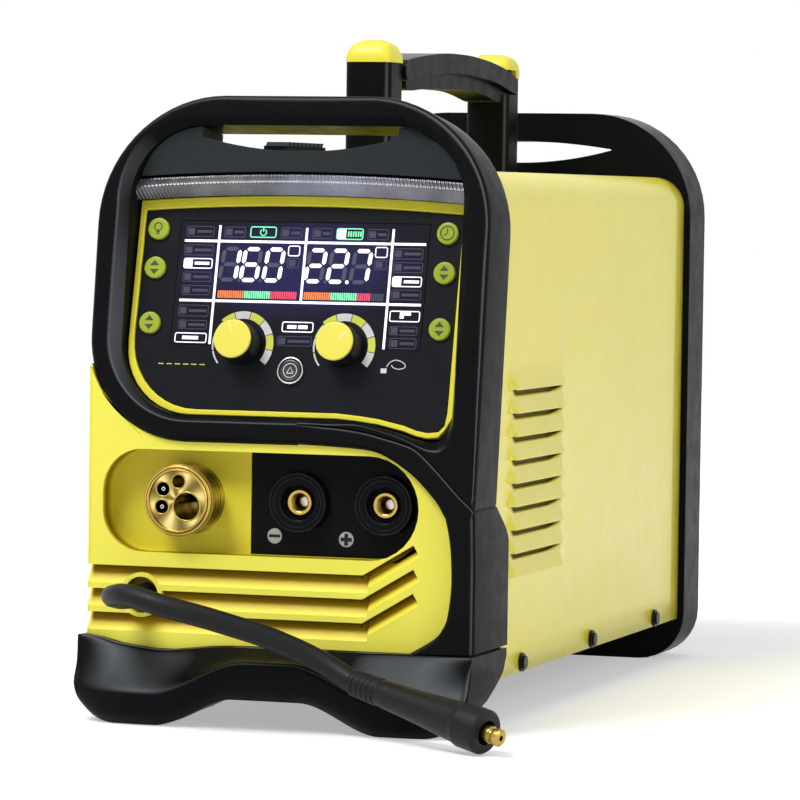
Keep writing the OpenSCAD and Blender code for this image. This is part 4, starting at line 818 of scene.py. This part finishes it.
# %% [markdown]
# ## Print, buttons and knobs
# The panel's few printed marks are flat plates in white ink. A button is a shallow turned dome
# with a dark symbol. A knob is a black turned skirt with a yellow cap, over a printed ring whose
# fields alternate between white and yellow.

# %% Printed marks and dial rings
ink = finish("white_ink", (214, 216, 214), 0.45, relief=3)
yellow_ink = finish("yellow_ink", (214, 218, 74), 0.45, relief=3)
symbol = finish("olive_symbol", (52, 58, 20), 0.5, relief=3)
KNOB_Z, KNOB_X, INK_HIGH = 197.8, (-28.0, 28.0), 0.12


def dial_fields(spans, inner=13.6, outer=17.6):
    """Fields of both dial rings, each between two angles clockwise from the top."""
    return [plate(np.concatenate([arc_line(x, rise(KNOB_Z), outer, start, stop, 10),
                                  arc_line(x, rise(KNOB_Z), inner, stop, start, 10)])[::-1],
                  PRINT_LOW, INK_HIGH) for x in KNOB_X for start, stop in spans]


white_fields = dial_fields(((-17, 12), (42, 69.5), (100.5, 127)))
yellow_fields = dial_fields(((-44, -18.5), (13.5, 40.5), (71, 99)))
thin_fields = dial_fields(((-130, -104), (-102, -76), (-74, -46)), 15.6, 16.5)
torch_shape = stroke(smooth_line([(x, rise(z)) for x, z in (
    (52.6, 188), (54.6, 190.6), (58, 191.6), (62, 190), (62.6, 188), (59.6, 187), (56.6, 187.6),
    (55.2, 189))], 5), 0.45)
nozzle = bars([(49.6, 184.8, 52.8, 187.2)], INK_HIGH)
panel_piece("printed_white", together(torch_shape, nozzle, *white_fields, *thin_fields),
            "panel_black", look=ink)
dashes = bars([(-73.4 + 4.6 * k, 186.5, -70.4 + 4.6 * k, 187) for k in range(6)], 0.1)
panel_piece("printed_yellow", together(dashes, *yellow_fields), "panel_black", look=yellow_ink)
print(len(white_fields) + len(yellow_fields) + len(thin_fields), "dial fields printed")

# %% Buttons with their symbols
SIGN = (2.1, 2.34)


def hoop(outer, inner, low, high):
    """A flat ring about the origin."""
    return band(*[arc_line(0, 0, r, 0, 345, 24) for r in (outer, inner)], low, high)


arrows = together(*[plate(np.array([(-2.5, s * 1.0), (2.5, s * 1.0), (0, s * 3.8)])[::s], *SIGN)
                    for s in (1, -1)])
lamp_sign = together(stroke(arc_line(0, 0.9, 2.1, -140, 140, 20), 0.6, *SIGN),
                     plate([(-1, -2.2), (1, -2.2), (1, -0.6), (-1, -0.6)], *SIGN),
                     plate([(-0.7, -3.1), (0.7, -3.1), (0.7, -2.5), (-0.7, -2.5)], *SIGN))
clock_sign = together(hoop(3.9, 3.3, *SIGN), stroke([(0, 0), (0, 1.3), (0, 2.6)], 0.5, *SIGN),
                      stroke([(0, 0), (-0.9, -0.7), (-1.8, -1.4)], 0.5, *SIGN))
stem = [[0, -6.6], [1.5, -6.6], [1.5, -1.4], [5.8, -1.4]]
dome = turned(stem + [[5.8, 1.9], [5.0, 2.15], [2.5, 2.2], [0, 2.2]], 0.4, 48)
for name, x, z, sign in (("light", -80, 257, lamp_sign), ("mode", -80, 236.6, arrows),
                         ("gas", -80, 207.7, arrows), ("spot", 80, 257, clock_sign),
                         ("wire", 80, 236.6, arrows), ("trigger", 80, 207.7, arrows)):
    body = "button_" + name + "_cap"
    panel_piece("cap_" + name, dome, "button_plastic", x, z, body=body,
                stands_for="button_" + name)
    panel_piece("sign_" + name, sign, "button_plastic", x, z, body=body, look=symbol)
print("six buttons made")

# %% The select button and the knobs
SELECT = (0.6, 184.6)
SELECT_SIGN = (1.45, 1.62)
select_cap = turned(stem + [[5.8, 1.6], [4.9, 1.9], [4.6, 1.5], [0, 1.5]], 0.25, 48)
panel_piece("cap_select", select_cap, "button_plastic", *SELECT, body="button_select_cap",
            look=finish("dark_button", (38, 38, 42), 0.3, grain=1200, relief=4),
            stands_for="button_select")
panel_piece("sign_select", together(
    hoop(3.9, 3.5, *SELECT_SIGN),
    stroke([(-1.6, -1.1), (0, 1.8), (1.6, -1.1)], 0.45, *SELECT_SIGN),
    stroke([(-1.9, -1.5), (0, -1.5), (1.9, -1.5)], 0.45, *SELECT_SIGN)),
    "button_plastic", *SELECT, body="button_select_cap", look=ink)
bezel = rounded([[6.15, -0.5], [6.15, 1.2], [6.5, 1.9], [7.2, 1.7], [7.5, 0.02], [7.5, -0.5]],
                0.25)
panel_piece("select_bezel", looped_rows(turned_rows(bezel, 56)), "steel", *SELECT)
skirt = turned([[0, -9], [2.9, -9], [2.9, 0.6], [11.0, 0.6], [11.0, 2.2], [10.7, 3],
                [10.6, 13.8], [10.2, 14.2], [0, 14.2]], 0.3, 72)
cap = turned([[0, 13.8], [10.2, 13.8], [10.2, 15.0], [9.7, 15.4], [0, 15.5]], 0.3, 72)
cap_yellow = finish("knob_cap_yellow", (238, 226, 88), 0.34, grain=1300, relief=10, shift=0.02)
mark = finish("pale_mark", (250, 244, 170), 0.3, grain=1300, relief=4)
for side, x, angle in (("current", KNOB_X[0], -14), ("voltage", KNOB_X[1], 55)):
    body = side + "_knob"
    panel_piece("skirt_" + side, skirt, "knob_plastic", x, KNOB_Z, body=body,
                stands_for="knob_" + side)
    panel_piece("cap_of_" + side, cap, "yellow_plastic", x, KNOB_Z, body=body, look=cap_yellow)
    way = np.array([math.sin(math.radians(angle)), math.cos(math.radians(angle))])
    panel_piece("mark_of_" + side, stroke([way * 3, way * 6, way * 9], 0.7, 15.45, 15.6),
                "yellow_plastic", x, KNOB_Z, body=body, look=mark)
print("two knobs made")

# %% [markdown]
# ## The black mouldings
# The upper ring leans back with the panel, and the lower frame runs down from its right side to
# the foot. Both are hollow bands between an outer and an inner outline. Each station joins a
# point of one outline to a point of the other, and carries the same section: an outer side, a
# rounded or sharp front edge, a flat front, and a bevel or a rounding at the inner edge.

# %% Hollow bands
WALL, SOFT = 2.5, 0.22


def hollow_band(a, b, r_out, r_in, depth, loop, shift=0.0):
    """Points (along x, up, into the moulding) of a band whose stations run from a to b, w apart.
    The front edge at a is an arc of radius r. At b it is a slope of width e with a soft start on
    a band that closes into a loop, and an arc on an open one. shift raises the points near a by
    shift times their depth."""
    a, b = np.asarray(a, float), np.asarray(b, float)
    w = np.linalg.norm(b - a, axis=1)
    across = (b - a) / w[:, None]
    r, e = np.minimum(r_out, 0.45 * w), np.minimum(r_in, 0.85 * w)
    g, d = np.minimum(WALL, 0.35 * w), np.broadcast_to(depth, len(w))
    quarter_turn = np.linspace(0, np.pi / 2, 5)
    section = [(0 * w, d)] + [(r * (1 - np.cos(s)), r * (1 - np.sin(s))) for s in quarter_turn]
    if loop:
        section += [(w - e + e * s, e * max(0, s + SOFT) ** 2 / (4 * SOFT))
                    for s in (-SOFT, -0.5 * SOFT, 0.0, 0.5 * SOFT, SOFT)] + [(w, e)]
    else:
        section += [(w - e + e * np.sin(s), e * (1 - np.cos(s))) for s in quarter_turn]
    section += [(w, d), (w - g, d), (w - g, e + g), (np.clip(w - e, g, w - g), g),
                (np.clip(r, g, w - g), g), (g, r + g), (g, d)]
    t, deep = (np.stack([p[k] for p in section], 1) for k in (0, 1))
    flat = a[:, None] + across[:, None] * t[..., None]
    flat[..., 1] += np.broadcast_to(shift, len(w))[:, None] * deep * (1 - t / w[:, None])
    rows = np.concatenate([flat, deep[..., None]], -1)
    return looped_rows(rows) if loop else closed_rows(rows)


def straight(p, q):
    """Points from p to q without the last."""
    return np.linspace(p, q, 6, endpoint=False)

# %% The front ring
RING_LEAN = math.radians(7.6)
RING_DEPTH = 38.66
RING_Y, RING_Z = -223.0, 124.0


def up_ring(z):
    """The distance up the ring's plane of a point at height z: (z - 124) / cos lean."""
    return (np.asarray(z, float) - RING_Z) / math.cos(RING_LEAN)


def ring_outline(half, top, foot, r, q):
    """Parts of an outline half wide to each side, with corners of radius r above and q below: it
    runs from the right side over the top to x = 10 at the foot."""
    return [quarter(half - r, top - r, r, 0), straight((half - r, top), (r - half, top)),
            quarter(r - half, top - r, r, 90), straight((-half, top - r), (-half, foot + q)),
            quarter(q - half, foot + q, q, 180), straight((q - half, foot), (10, foot)),
            [(10, foot)]]


ring_top, ring_foot, gap_top, sill = (float(up_ring(z)) for z in (328, 147.7, 313, 161))
ring_outer = ring_outline(108, ring_top, ring_foot, 68, 55)
ring_inner = ring_outline(92, gap_top, sill, 40, 40)
crest_line = smooth_line([
    [10, 157.7, 10, 161], [28, 157.3, 26, 161], [45, 155.5, 40, 160.9], [56, 153.1, 50, 158.7],
    [69, 149.7, 64, 155.4], [76, 146.6, 71, 153.2], [86, 137.9, 79, 151.4],
    [99.4, 124.6, 84.5, 151.7], [107.6, 117.1, 88.5, 154.6]], 5)
side_pairs = np.array([[108, 118.2, 89.2, 155.6], [108, 121, 90.6, 158], [108, 130, 92, 163],
                       [108, 150, 92, 176], [108, 190, 92, 205], [108, 240, 92, 245]])
ring_a, ring_b = (np.concatenate(
    flat + [np.column_stack([p[:, k], up_ring(p[:, k + 1])]) for p in (crest_line, side_pairs)])
    for flat, k in ((ring_outer, 0), (ring_inner, 2)))
flat_count = sum(len(part) for part in ring_outer)
on_crest = np.zeros(len(ring_a))
on_crest[flat_count:flat_count + len(crest_line)] = 1
# Along the crest the band runs back level, and on the side above it turns square to the ring.
level_back = on_crest.copy()
level_back[-len(side_pairs):] = (1, 1, 0.8, 0.4, 0, 0)
# The outer edge is sharp along the crest. The inner slope is 3.4 mm wide on the sill and widens
# to 6.2 mm over its left corner's 40 mm and its right end's 25 mm.
edge_out = np.where(on_crest > 0, 0.5, 4.0)
past_sill = np.where(ring_b[:, 0] < 60, (ring_b[:, 1] - sill) / 40, (ring_b[:, 0] - 60) / 25)
edge_in = 3.4 + 2.8 * np.clip(past_sill, 0, 1)
points, faces = hollow_band(ring_a, ring_b, edge_out, edge_in, RING_DEPTH, True,
                            shift=level_back * math.tan(RING_LEAN))
points[:, 2] *= -1
add_piece("ring_moulding", aimed((points, faces), (0, RING_Y, RING_Z),
                                 (0, -math.cos(RING_LEAN), math.sin(RING_LEAN))),
          "black_plastic", stands_for="front_ring")
print("ring has", len(ring_a), "stations")

# %% The lower frame
RAIL_DEPTH = 61.0
rail = smooth_line([
    [9.9, 157.4, 9.9, 147.7], [28, 157, 28, 147.2], [45, 155.2, 46, 146], [56, 152.8, 55, 143.9],
    [69, 149.4, 62, 140.8], [76, 146.3, 67, 137.6], [86, 137.6, 75.3, 131.6],
    [99.4, 124.3, 86, 121], [107.7, 116.7, 90.8, 113.8], [108, 112, 92.2, 110.5],
    [108, 100, 94, 100], [108, 86, 94.8, 86], [108, 75, 94.7, 75], [108, 64, 93.4, 64],
    [108, 57, 91.4, 57], [108, 50, 86.2, 50], [108, 43, 74, 42.2]], 6)
rail[:, [0, 2]] = np.minimum(rail[:, [0, 2]], 108)
# The outer edge's radius is 0.5 mm at the start, 1.8 mm on the crest and 3.6 mm on the side.
rail_out = (0.5 + 1.3 * np.clip((rail[:, 0] - 12) / 12, 0, 1)
            + 1.8 * np.clip((116.2 - rail[:, 1]) / 3, 0, 1))
points, faces = hollow_band(rail[:, :2], rail[:, 2:], rail_out, 4.0, RAIL_DEPTH, False)


def step01(t):
    """A smooth step from 0 to 1: t t (3 - 2 t), with t held between 0 and 1."""
    t = np.clip(t, 0, 1)
    return t * t * (3 - 2 * t)


def ring_plane(z):
    """Depth of the ring's leaning front at height z."""
    return RING_Y + (z - RING_Z) * math.tan(RING_LEAN)


def frame_back(z):
    """Depth at which the frame's side ends: behind the ring's plane above z = 118, at y = -161
    below z = 96, and a smooth line between them."""
    t = np.clip((118 - z) / 22, 0, 1)
    ring_back = ring_plane(z) + RING_DEPTH / math.cos(RING_LEAN)
    return ring_back + (-161 - ring_back) * np.sin(np.pi / 2 * t) ** 1.2


# The front follows the ring's plane down to z = 116, and returns from there to y = -222 at 84.
x, z, deep = points.T
y = np.maximum(ring_plane(z), -224.07) + 2.07 * step01((116 - z) / 32) + deep
rail_points = np.column_stack([x, np.where(deep > RAIL_DEPTH - 1, frame_back(z), y), z])
add_piece("rail_moulding", (rail_points, faces), "black_plastic", stands_for="lower_frame")
print("lower frame has", len(rail), "stations")

# %% The foot
def foot_rows(x):
    """Sections (x, y, z) of the foot at positions x: an upper face from the body to a crest, a
    lower face down to the pads or the arch, and a rising underside."""
    a = np.abs(x)
    top = 41.5 - 3.5 * np.exp(-((x + 62) / 22) ** 2) + 3 * step01((-x - 84) / 22)
    low = np.where(a < 62, 15.3 * (1 - step01((a - 18) / 44)),
                   27 - np.sqrt(np.maximum(0, 27.0 ** 2 - np.maximum(0, a - 84) ** 2)))
    crest = np.maximum(16 + 17 * (1 - step01((np.abs(x - 4) - 12) / 52)), low + 6)
    out = 28 * (1 - 0.45 * (np.maximum(0, a - 70) / 38) ** 2)
    end = np.clip((a - 105) / 3, 0, 1)
    out = out - 3 * (1 - np.sqrt(1 - end ** 2))
    upper = [(-6 + 0 * x, top), (-8 + 0 * x, top - 1), (-0.7 * out, crest + (top - crest) * 0.45),
             (-0.95 * out, crest + 3), (-out, crest)]
    lower = [(-out, crest), (-0.93 * out, low + (crest - low) * 0.6),
             (-0.8 * out, low + (crest - low) * 0.25), (-0.6 * out, low)]
    under = [lower[-1], (-4 + 0 * x, low)]
    under += [(y + 0 * x, np.maximum(low + rise_by, least)) for y, rise_by, least in
              ((8, 0, 8), (20, 1, 17), (33, 2, 22), (48, 3, 29))]
    under += [(54 + 0 * x, top - 4), (54 + 0 * x, top)]
    upper, lower, under = (np.stack([np.stack(p, -1) for p in part])
                           for part in (upper, lower, under))
    curves = [smooth_line(part.reshape(len(part), -1), 5).reshape(-1, len(x), 2)[:-1]
              for part in (upper, lower)]
    section = np.concatenate(curves + [under]).transpose(1, 0, 2)
    return np.concatenate([np.broadcast_to(x[:, None, None], (*section.shape[:2], 1)),
                           section + [FACE, 0]], -1)


foot_x = np.concatenate([-108 + 3 * (1 - np.cos(np.linspace(0, np.pi / 2, 6))),
                         np.linspace(-104, 104, 131),
                         105 + 3 * np.sin(np.linspace(0, np.pi / 2, 6))])
add_piece("foot_moulding", closed_rows(foot_rows(foot_x)), "black_plastic",
          stands_for="front_foot", smooth=28)
print("foot has", len(foot_x), "sections")

# %% The fascia's shoulder and cheek
shoulder = plate([(-53 + 55.7 * math.cos(a), 202.7 + 55.7 * math.sin(a))
                  for a in np.radians(np.linspace(213, 268, 16))]
                 + [(-54, 146.5), (-74, 146.5), (-86, 158)], 0.0, 2.6)
add_piece("fascia_shoulder", (shoulder[0][:, [0, 2, 1]] + [0, FACE - 0.03, 0], shoulder[1]),
          "yellow_plastic", look=fascia_painted_shade)
cheek = np.array([[(x, y, z) for y, z in side] for x, side in (
    (-105.9, ((-213.4, 147.4), (-177.6, 147.4), (-176.8, 182.0), (-213.4, 186.6))),
    (-103.5, ((-213.4, 147.4), (-177.6, 147.4), (-177.2, 174.8), (-213.4, 179.4))))])
add_piece("fascia_cheek", closed_rows(cheek), "yellow_plastic", look=fascia_painted_shade)
print("fascia shoulder and cheek closed")

# %% [markdown]
# ## The sheet cover
# The cover is one bent sheet: the right side, a bend of 18 mm, the top and a second bend. Nine
# louvres are pressed out of its side. Each one swells downwards to a sharp lip, and the sheet
# is open below the lip. The sheet is a grid whose rows follow the lips, so that an opening is
# simply a run of faces left out. A solidify modifier gives it its thickness.

# %% The cover with its louvres
LOUVRE_TOP, LOUVRE_STEP, LOUVRES = 186.2, 12.3, 9
LOUVRE_FRONT, LOUVRE_BACK, LOUVRE_OUT = -150.0, -46.0, 3.6
LIP = 0.86


def louvre_ends(y):
    """How far a louvre is pressed out along its length, 0 to 1: a quarter ellipse over 8 mm at
    its front end, sqrt(1 - (1 - t)^2), and a smooth step over 9 mm at its back end."""
    front = np.clip((y - LOUVRE_FRONT) / 8, 0, 1)
    return np.sqrt(1 - (1 - front) ** 2) * step01((LOUVRE_BACK - y) / 9)


def slot_height(y):
    """Height of the opening below a lip: it opens over 5 mm and closes slowly to the back."""
    return 3.1 * np.clip((y + 145) / 5, 0, 1) * np.clip((-49 - y) / 26, 0, 1) ** 0.6


# A row of the side is its height, the louvre that it belongs to, and how far it bulges.
side_rows = [(z, None, None) for z in (25, 40, 53, 64)]
for k in range(LOUVRES - 1, -1, -1):
    top = LOUVRE_TOP - k * LOUVRE_STEP
    side_rows += [(top - LOUVRE_STEP * LIP, k, 1.0)]
    side_rows += [(top - LOUVRE_STEP * t, k, (t / LIP) ** 1.3)
                  for t in (0.8, 0.68, 0.55, 0.42, 0.3, 0.2)]
    side_rows += [(top - LOUVRE_STEP * 0.08, k, 0.02)]
side_rows += [(z, None, None) for z in (191, 200, 215, 235, 255, 272)]
across = np.concatenate([[(104.0, row[0]) for row in side_rows], quarter(86, 272, 18, 0, 13)[1:],
                         [(x, 290.0) for x in np.linspace(86, -86, 15)[1:]],
                         quarter(-86, 272, 18, 90, 13)[1:]])
y_fixed = np.concatenate([np.linspace(LOUVRE_FRONT, LOUVRE_FRONT + 8, 9),
                          np.linspace(-139, -64, 14), np.linspace(-61, LOUVRE_BACK, 9),
                          [-38, 0, 50, 100, 150, 190, 208.7]])
edge = frame_back(across[:, 1]) + 0.3
lead_in = np.linspace(0, 1, 5)[:-1, None]
y_grid = np.concatenate([edge + (np.maximum(edge + 1, LOUVRE_FRONT) - edge) * lead_in,
                         np.maximum(y_fixed[:, None], edge + 1)])
x_grid, z_grid = (np.broadcast_to(across[:, k], y_grid.shape).copy() for k in (0, 1))
skip = np.zeros(y_grid.shape, bool)
for j, (z, k, bulge) in enumerate(side_rows):
    if k is None:
        continue
    x_grid[:, j] += LOUVRE_OUT * bulge * louvre_ends(y_grid[:, j])
    if bulge == 1.0 and k < LOUVRES - 1:
        opening = slot_height(y_grid[:, j])
        z_grid[:, j - 1] = z - np.maximum(opening, 0.01)
        skip[:, j - 1] = opening > 0
    elif bulge == 1.0:  # the lowest louvre has no opening
        z_grid[:, j - 1] = z - 0.6
columns = y_grid.shape[1]
grid_list = np.array(grid_faces(*y_grid.shape, around=False))
i, j = grid_list[:, 0] // columns, grid_list[:, 0] % columns
keep = ~(skip[i, j] | skip[i + 1, j])
cover = add_piece("cover_sheet", (np.stack([x_grid, y_grid, z_grid], -1).reshape(-1, 3),
                                  grid_list[keep].tolist()), "yellow_sheet",
                  stands_for="side_cover")
thick = cover.modifiers.new("sheet thickness", "SOLIDIFY")
thick.thickness, thick.offset = 1.2 * MM, -1
# A darker olive plate behind the louvres: painted shade that darkens their openings and closes the
# view through them.
shade_backing = plate([(-146, 72), (-50, 72), (-50, 184), (-146, 184)], 0, 0.6)
add_piece("louvre_shade_backing", (shade_backing[0][:, [2, 0, 1]] + [100.6, 0, 0], shade_backing[1]), "yellow_sheet",
          look=finish("painted_shade_olive", (112, 105, 34), 0.6, grain=500, specular=0.2))
print("cover has", int(keep.sum()), "faces and", int((~keep).sum()), "left out for the openings")

# %% [markdown]
# ## The light bar
# A clear bar lies over the row of light diodes. Its front has fine slanting ribs, which spread
# the light. Its colour is painted shade and reflection, from a dark warm grey on the left to a
# paler cool one on the right.

# %% The ribbed light bar
def lens_painted_reflections():
    """Clear plastic with painted shade and reflection along x, dark on the left and paler to the
    right, with painted reflections in paler and darker patches mixed in.
    """
    material = finish("lens_ribbed", (110, 112, 90), 0.16, relief=2, coat=0.35, coat_rough=0.05)
    tree, shader, place = inner(material)
    # Painted shade and reflection along x: dark olive on the left, paler and cooler to the right.
    tint = ramp(tree, scaled(tree, axes(tree, place)["X"], -0.09, 0.09),
                (0.05, 26, 28, 10), (0.3, 62, 64, 56), (0.55, 100, 102, 130),
                (0.95, 92, 90, 96))
    # Painted reflections: paler and darker patches, mixed in at a share of 0.35.
    patches = ramp(tree, noise(tree, place, 38.0, 3.0), (0.35, 34, 36, 38),
                   (0.65, 170, 172, 184))
    feed(tree, shader, {"Base Color": blend(tree, 0.35, tint, patches)})
    return material


LENS_PITCH, LENS_STEPS, LENS_HALF, LENS_Z = 2.05, 5, 91.5, 277.8
section = np.array([[-3, 5.4], [-3.4, 4.6], [-4.1, 3.7], [-6, 1], [-5.6, -1.1], [-5, -3.2],
                    [-4, -5.4], [5, -5.4], [5, 5.4]])
depths = np.concatenate([smooth_line(section[:7], 3), section[7:]])
stations = np.linspace(-1, 1, 2 * int(LENS_HALF / LENS_PITCH * LENS_STEPS) + 1)
bow = 3.5 * (1 - (LENS_HALF * stations / 92) ** 2)
height = LENS_Z + bow[:, None] + depths[None, :, 1]
corner = np.clip(height - 273.2, 0, 39)
reach = np.minimum(LENS_HALF, 51.7 + np.sqrt(40 ** 2 - corner ** 2))
x = stations[:, None] * reach
wave = (x + 0.45 * depths[None, :, 1]) / LENS_PITCH % 1
front = np.arange(len(depths)) < len(depths) - 2
rib = 0.42 * (1 - np.abs(2 * wave - 1) ** 1.5) * front
lens_rows = np.stack([x, panel_y(LENS_Z) - 5 + depths[None, :, 0] + rib, height], -1)
add_piece("ribbed_lens", closed_rows(lens_rows), "light_lens", look=lens_painted_reflections(),
          stands_for="light_lens", smooth=50)
print("lens has", len(stations), "stations")

# %% [markdown]
# ## Sockets and marks
# The torch socket is turned from brass: a face with four bores inside a double raised rim. The
# two power sockets are black, with a brass sleeve and a bright pin deep inside. A disc at the
# lower left of each one shows its polarity.

# %% Rings round the sockets
def facing(shape, y, *places):
    """A shape at each place (x, z) in the plane y, its own z axis pointing at the viewer."""
    return together(*[aimed(shape, (x, y, z), (0, -1, 0)) for x, z in places])


def rings(y, places, *profiles, sides=72):
    """Turned rings at each place in the plane y. Their profiles do not touch the axis, and a
    profile's last point joins its first."""
    return together(*[facing(looped_rows(turned_rows(rounded(p + p[:1], 0.18)[:-1], sides)),
                             y, *places) for p in profiles])


SOCKETS = [(x, SOCKET_Z) for x in (7, 54)]
RIM_Y, SLEEVE_Y = -207, -203
CONTACTS = [(TORCH_X + u, SOCKET_Z + v) for u, v in ((-8, 5.9), (-8.6, -3.4))]
add_piece("socket_rims", rings(
    RIM_Y, SOCKETS, [[12.6, -0.2], [12.6, 0.35], [13.2, 0.35], [13.2, -0.2]],
    [[14.6, -0.3], [14.7, 0.5], [15.4, 0.5], [15.4, -0.3]]), "black_plastic",
    look=finish("satin_ring", (16, 16, 18), 0.3, grain=1400, relief=10, specular=0.16))
add_piece("socket_sleeves", rings(
    SLEEVE_Y, SOCKETS, [[4.4, -7.6], [4.4, 0.3], [5.2, 0.9], [6.4, 0.9], [7.1, 0.3],
                        [7.1, -0.2], [6.6, -0.4], [6.6, -7.6]]), "brass")
add_piece("socket_pins", facing(turned(
    [[0, -16], [3.2, -16], [3.2, -8.4], [2.6, -7.8], [0, -7.8]], 0.3, 40), SLEEVE_Y, *SOCKETS),
    "steel")
add_piece("torch_rims", rings(
    TORCH_Y, [(TORCH_X, SOCKET_Z)],
    [[15.2, -0.6], [15.2, 0.0], [15.6, 1.3], [16.4, 1.5], [16.9, 0.9], [17.1, -0.2]],
    [[16.9, -0.6], [17.2, 0.5], [18.0, 0.6], [18.6, 0.1], [18.7, -0.8]],
    [[18.3, -3.6], [18.3, -2.2], [18.9, -2.2], [18.9, -3.6]]), "brass")
add_piece("torch_bore_rims", together(*[rings(
    TORCH_Y, [(TORCH_X + u, SOCKET_Z + v)], [[r - 0.1, -0.5], [r - 0.1, 0.15], [r + 0.35, 0.3],
                                             [r + 0.7, 0.1], [r + 0.7, -0.5]], sides=40)
    for u, v, r in ((0.5, 10, 3.5), (-8, 5.9, 3.6), (-8.6, -3.4, 3.6), (5.1, -2.9, 7.2))]), "brass")
add_piece("torch_insulators", rings(
    TORCH_Y, CONTACTS, [[1.0, -2.4], [1.0, -0.6], [3.3, -0.6], [3.3, -2.4]], sides=40),
    "black_plastic", look=paint["knob_plastic"])
add_piece("torch_contacts", rings(
    TORCH_Y, CONTACTS, [[0.5, -2.4], [0.5, -0.3], [1.1, -0.3], [1.1, -2.4]], sides=32), "steel")
print("socket rims, sleeves and contacts made")

# %% Polarity marks
MARK_Y, MINUS, PLUS = -202, (-7, 98.5), (32.4, 98)


def bar_plate(w, h, low, high):
    """A flat bar that reaches w to both sides and h up and down."""
    return plate([(-w, -h), (w, -h), (w, h), (-w, h)], low, high)


disc = turned([[0, -0.1], [4.0, -0.1], [4.0, 0.26], [0, 0.3]], 0.08, 48)
add_piece("polarity_discs", facing(disc, MARK_Y, MINUS, PLUS), "black_plastic",
          look=finish("mark_grey", (168, 173, 168), 0.5, grain=1200, relief=4))
add_piece("polarity_signs", together(facing(bar_plate(3.1, 0.75, 0.28, 0.42), MARK_Y, MINUS),
                                     facing(bar_plate(3.1, 1.0, 0.28, 0.42), MARK_Y, PLUS),
                                     facing(bar_plate(1.0, 3.1, 0.3, 0.44), MARK_Y, PLUS)),
          "black_plastic", look=paint["knob_plastic"])
print("polarity marks made")
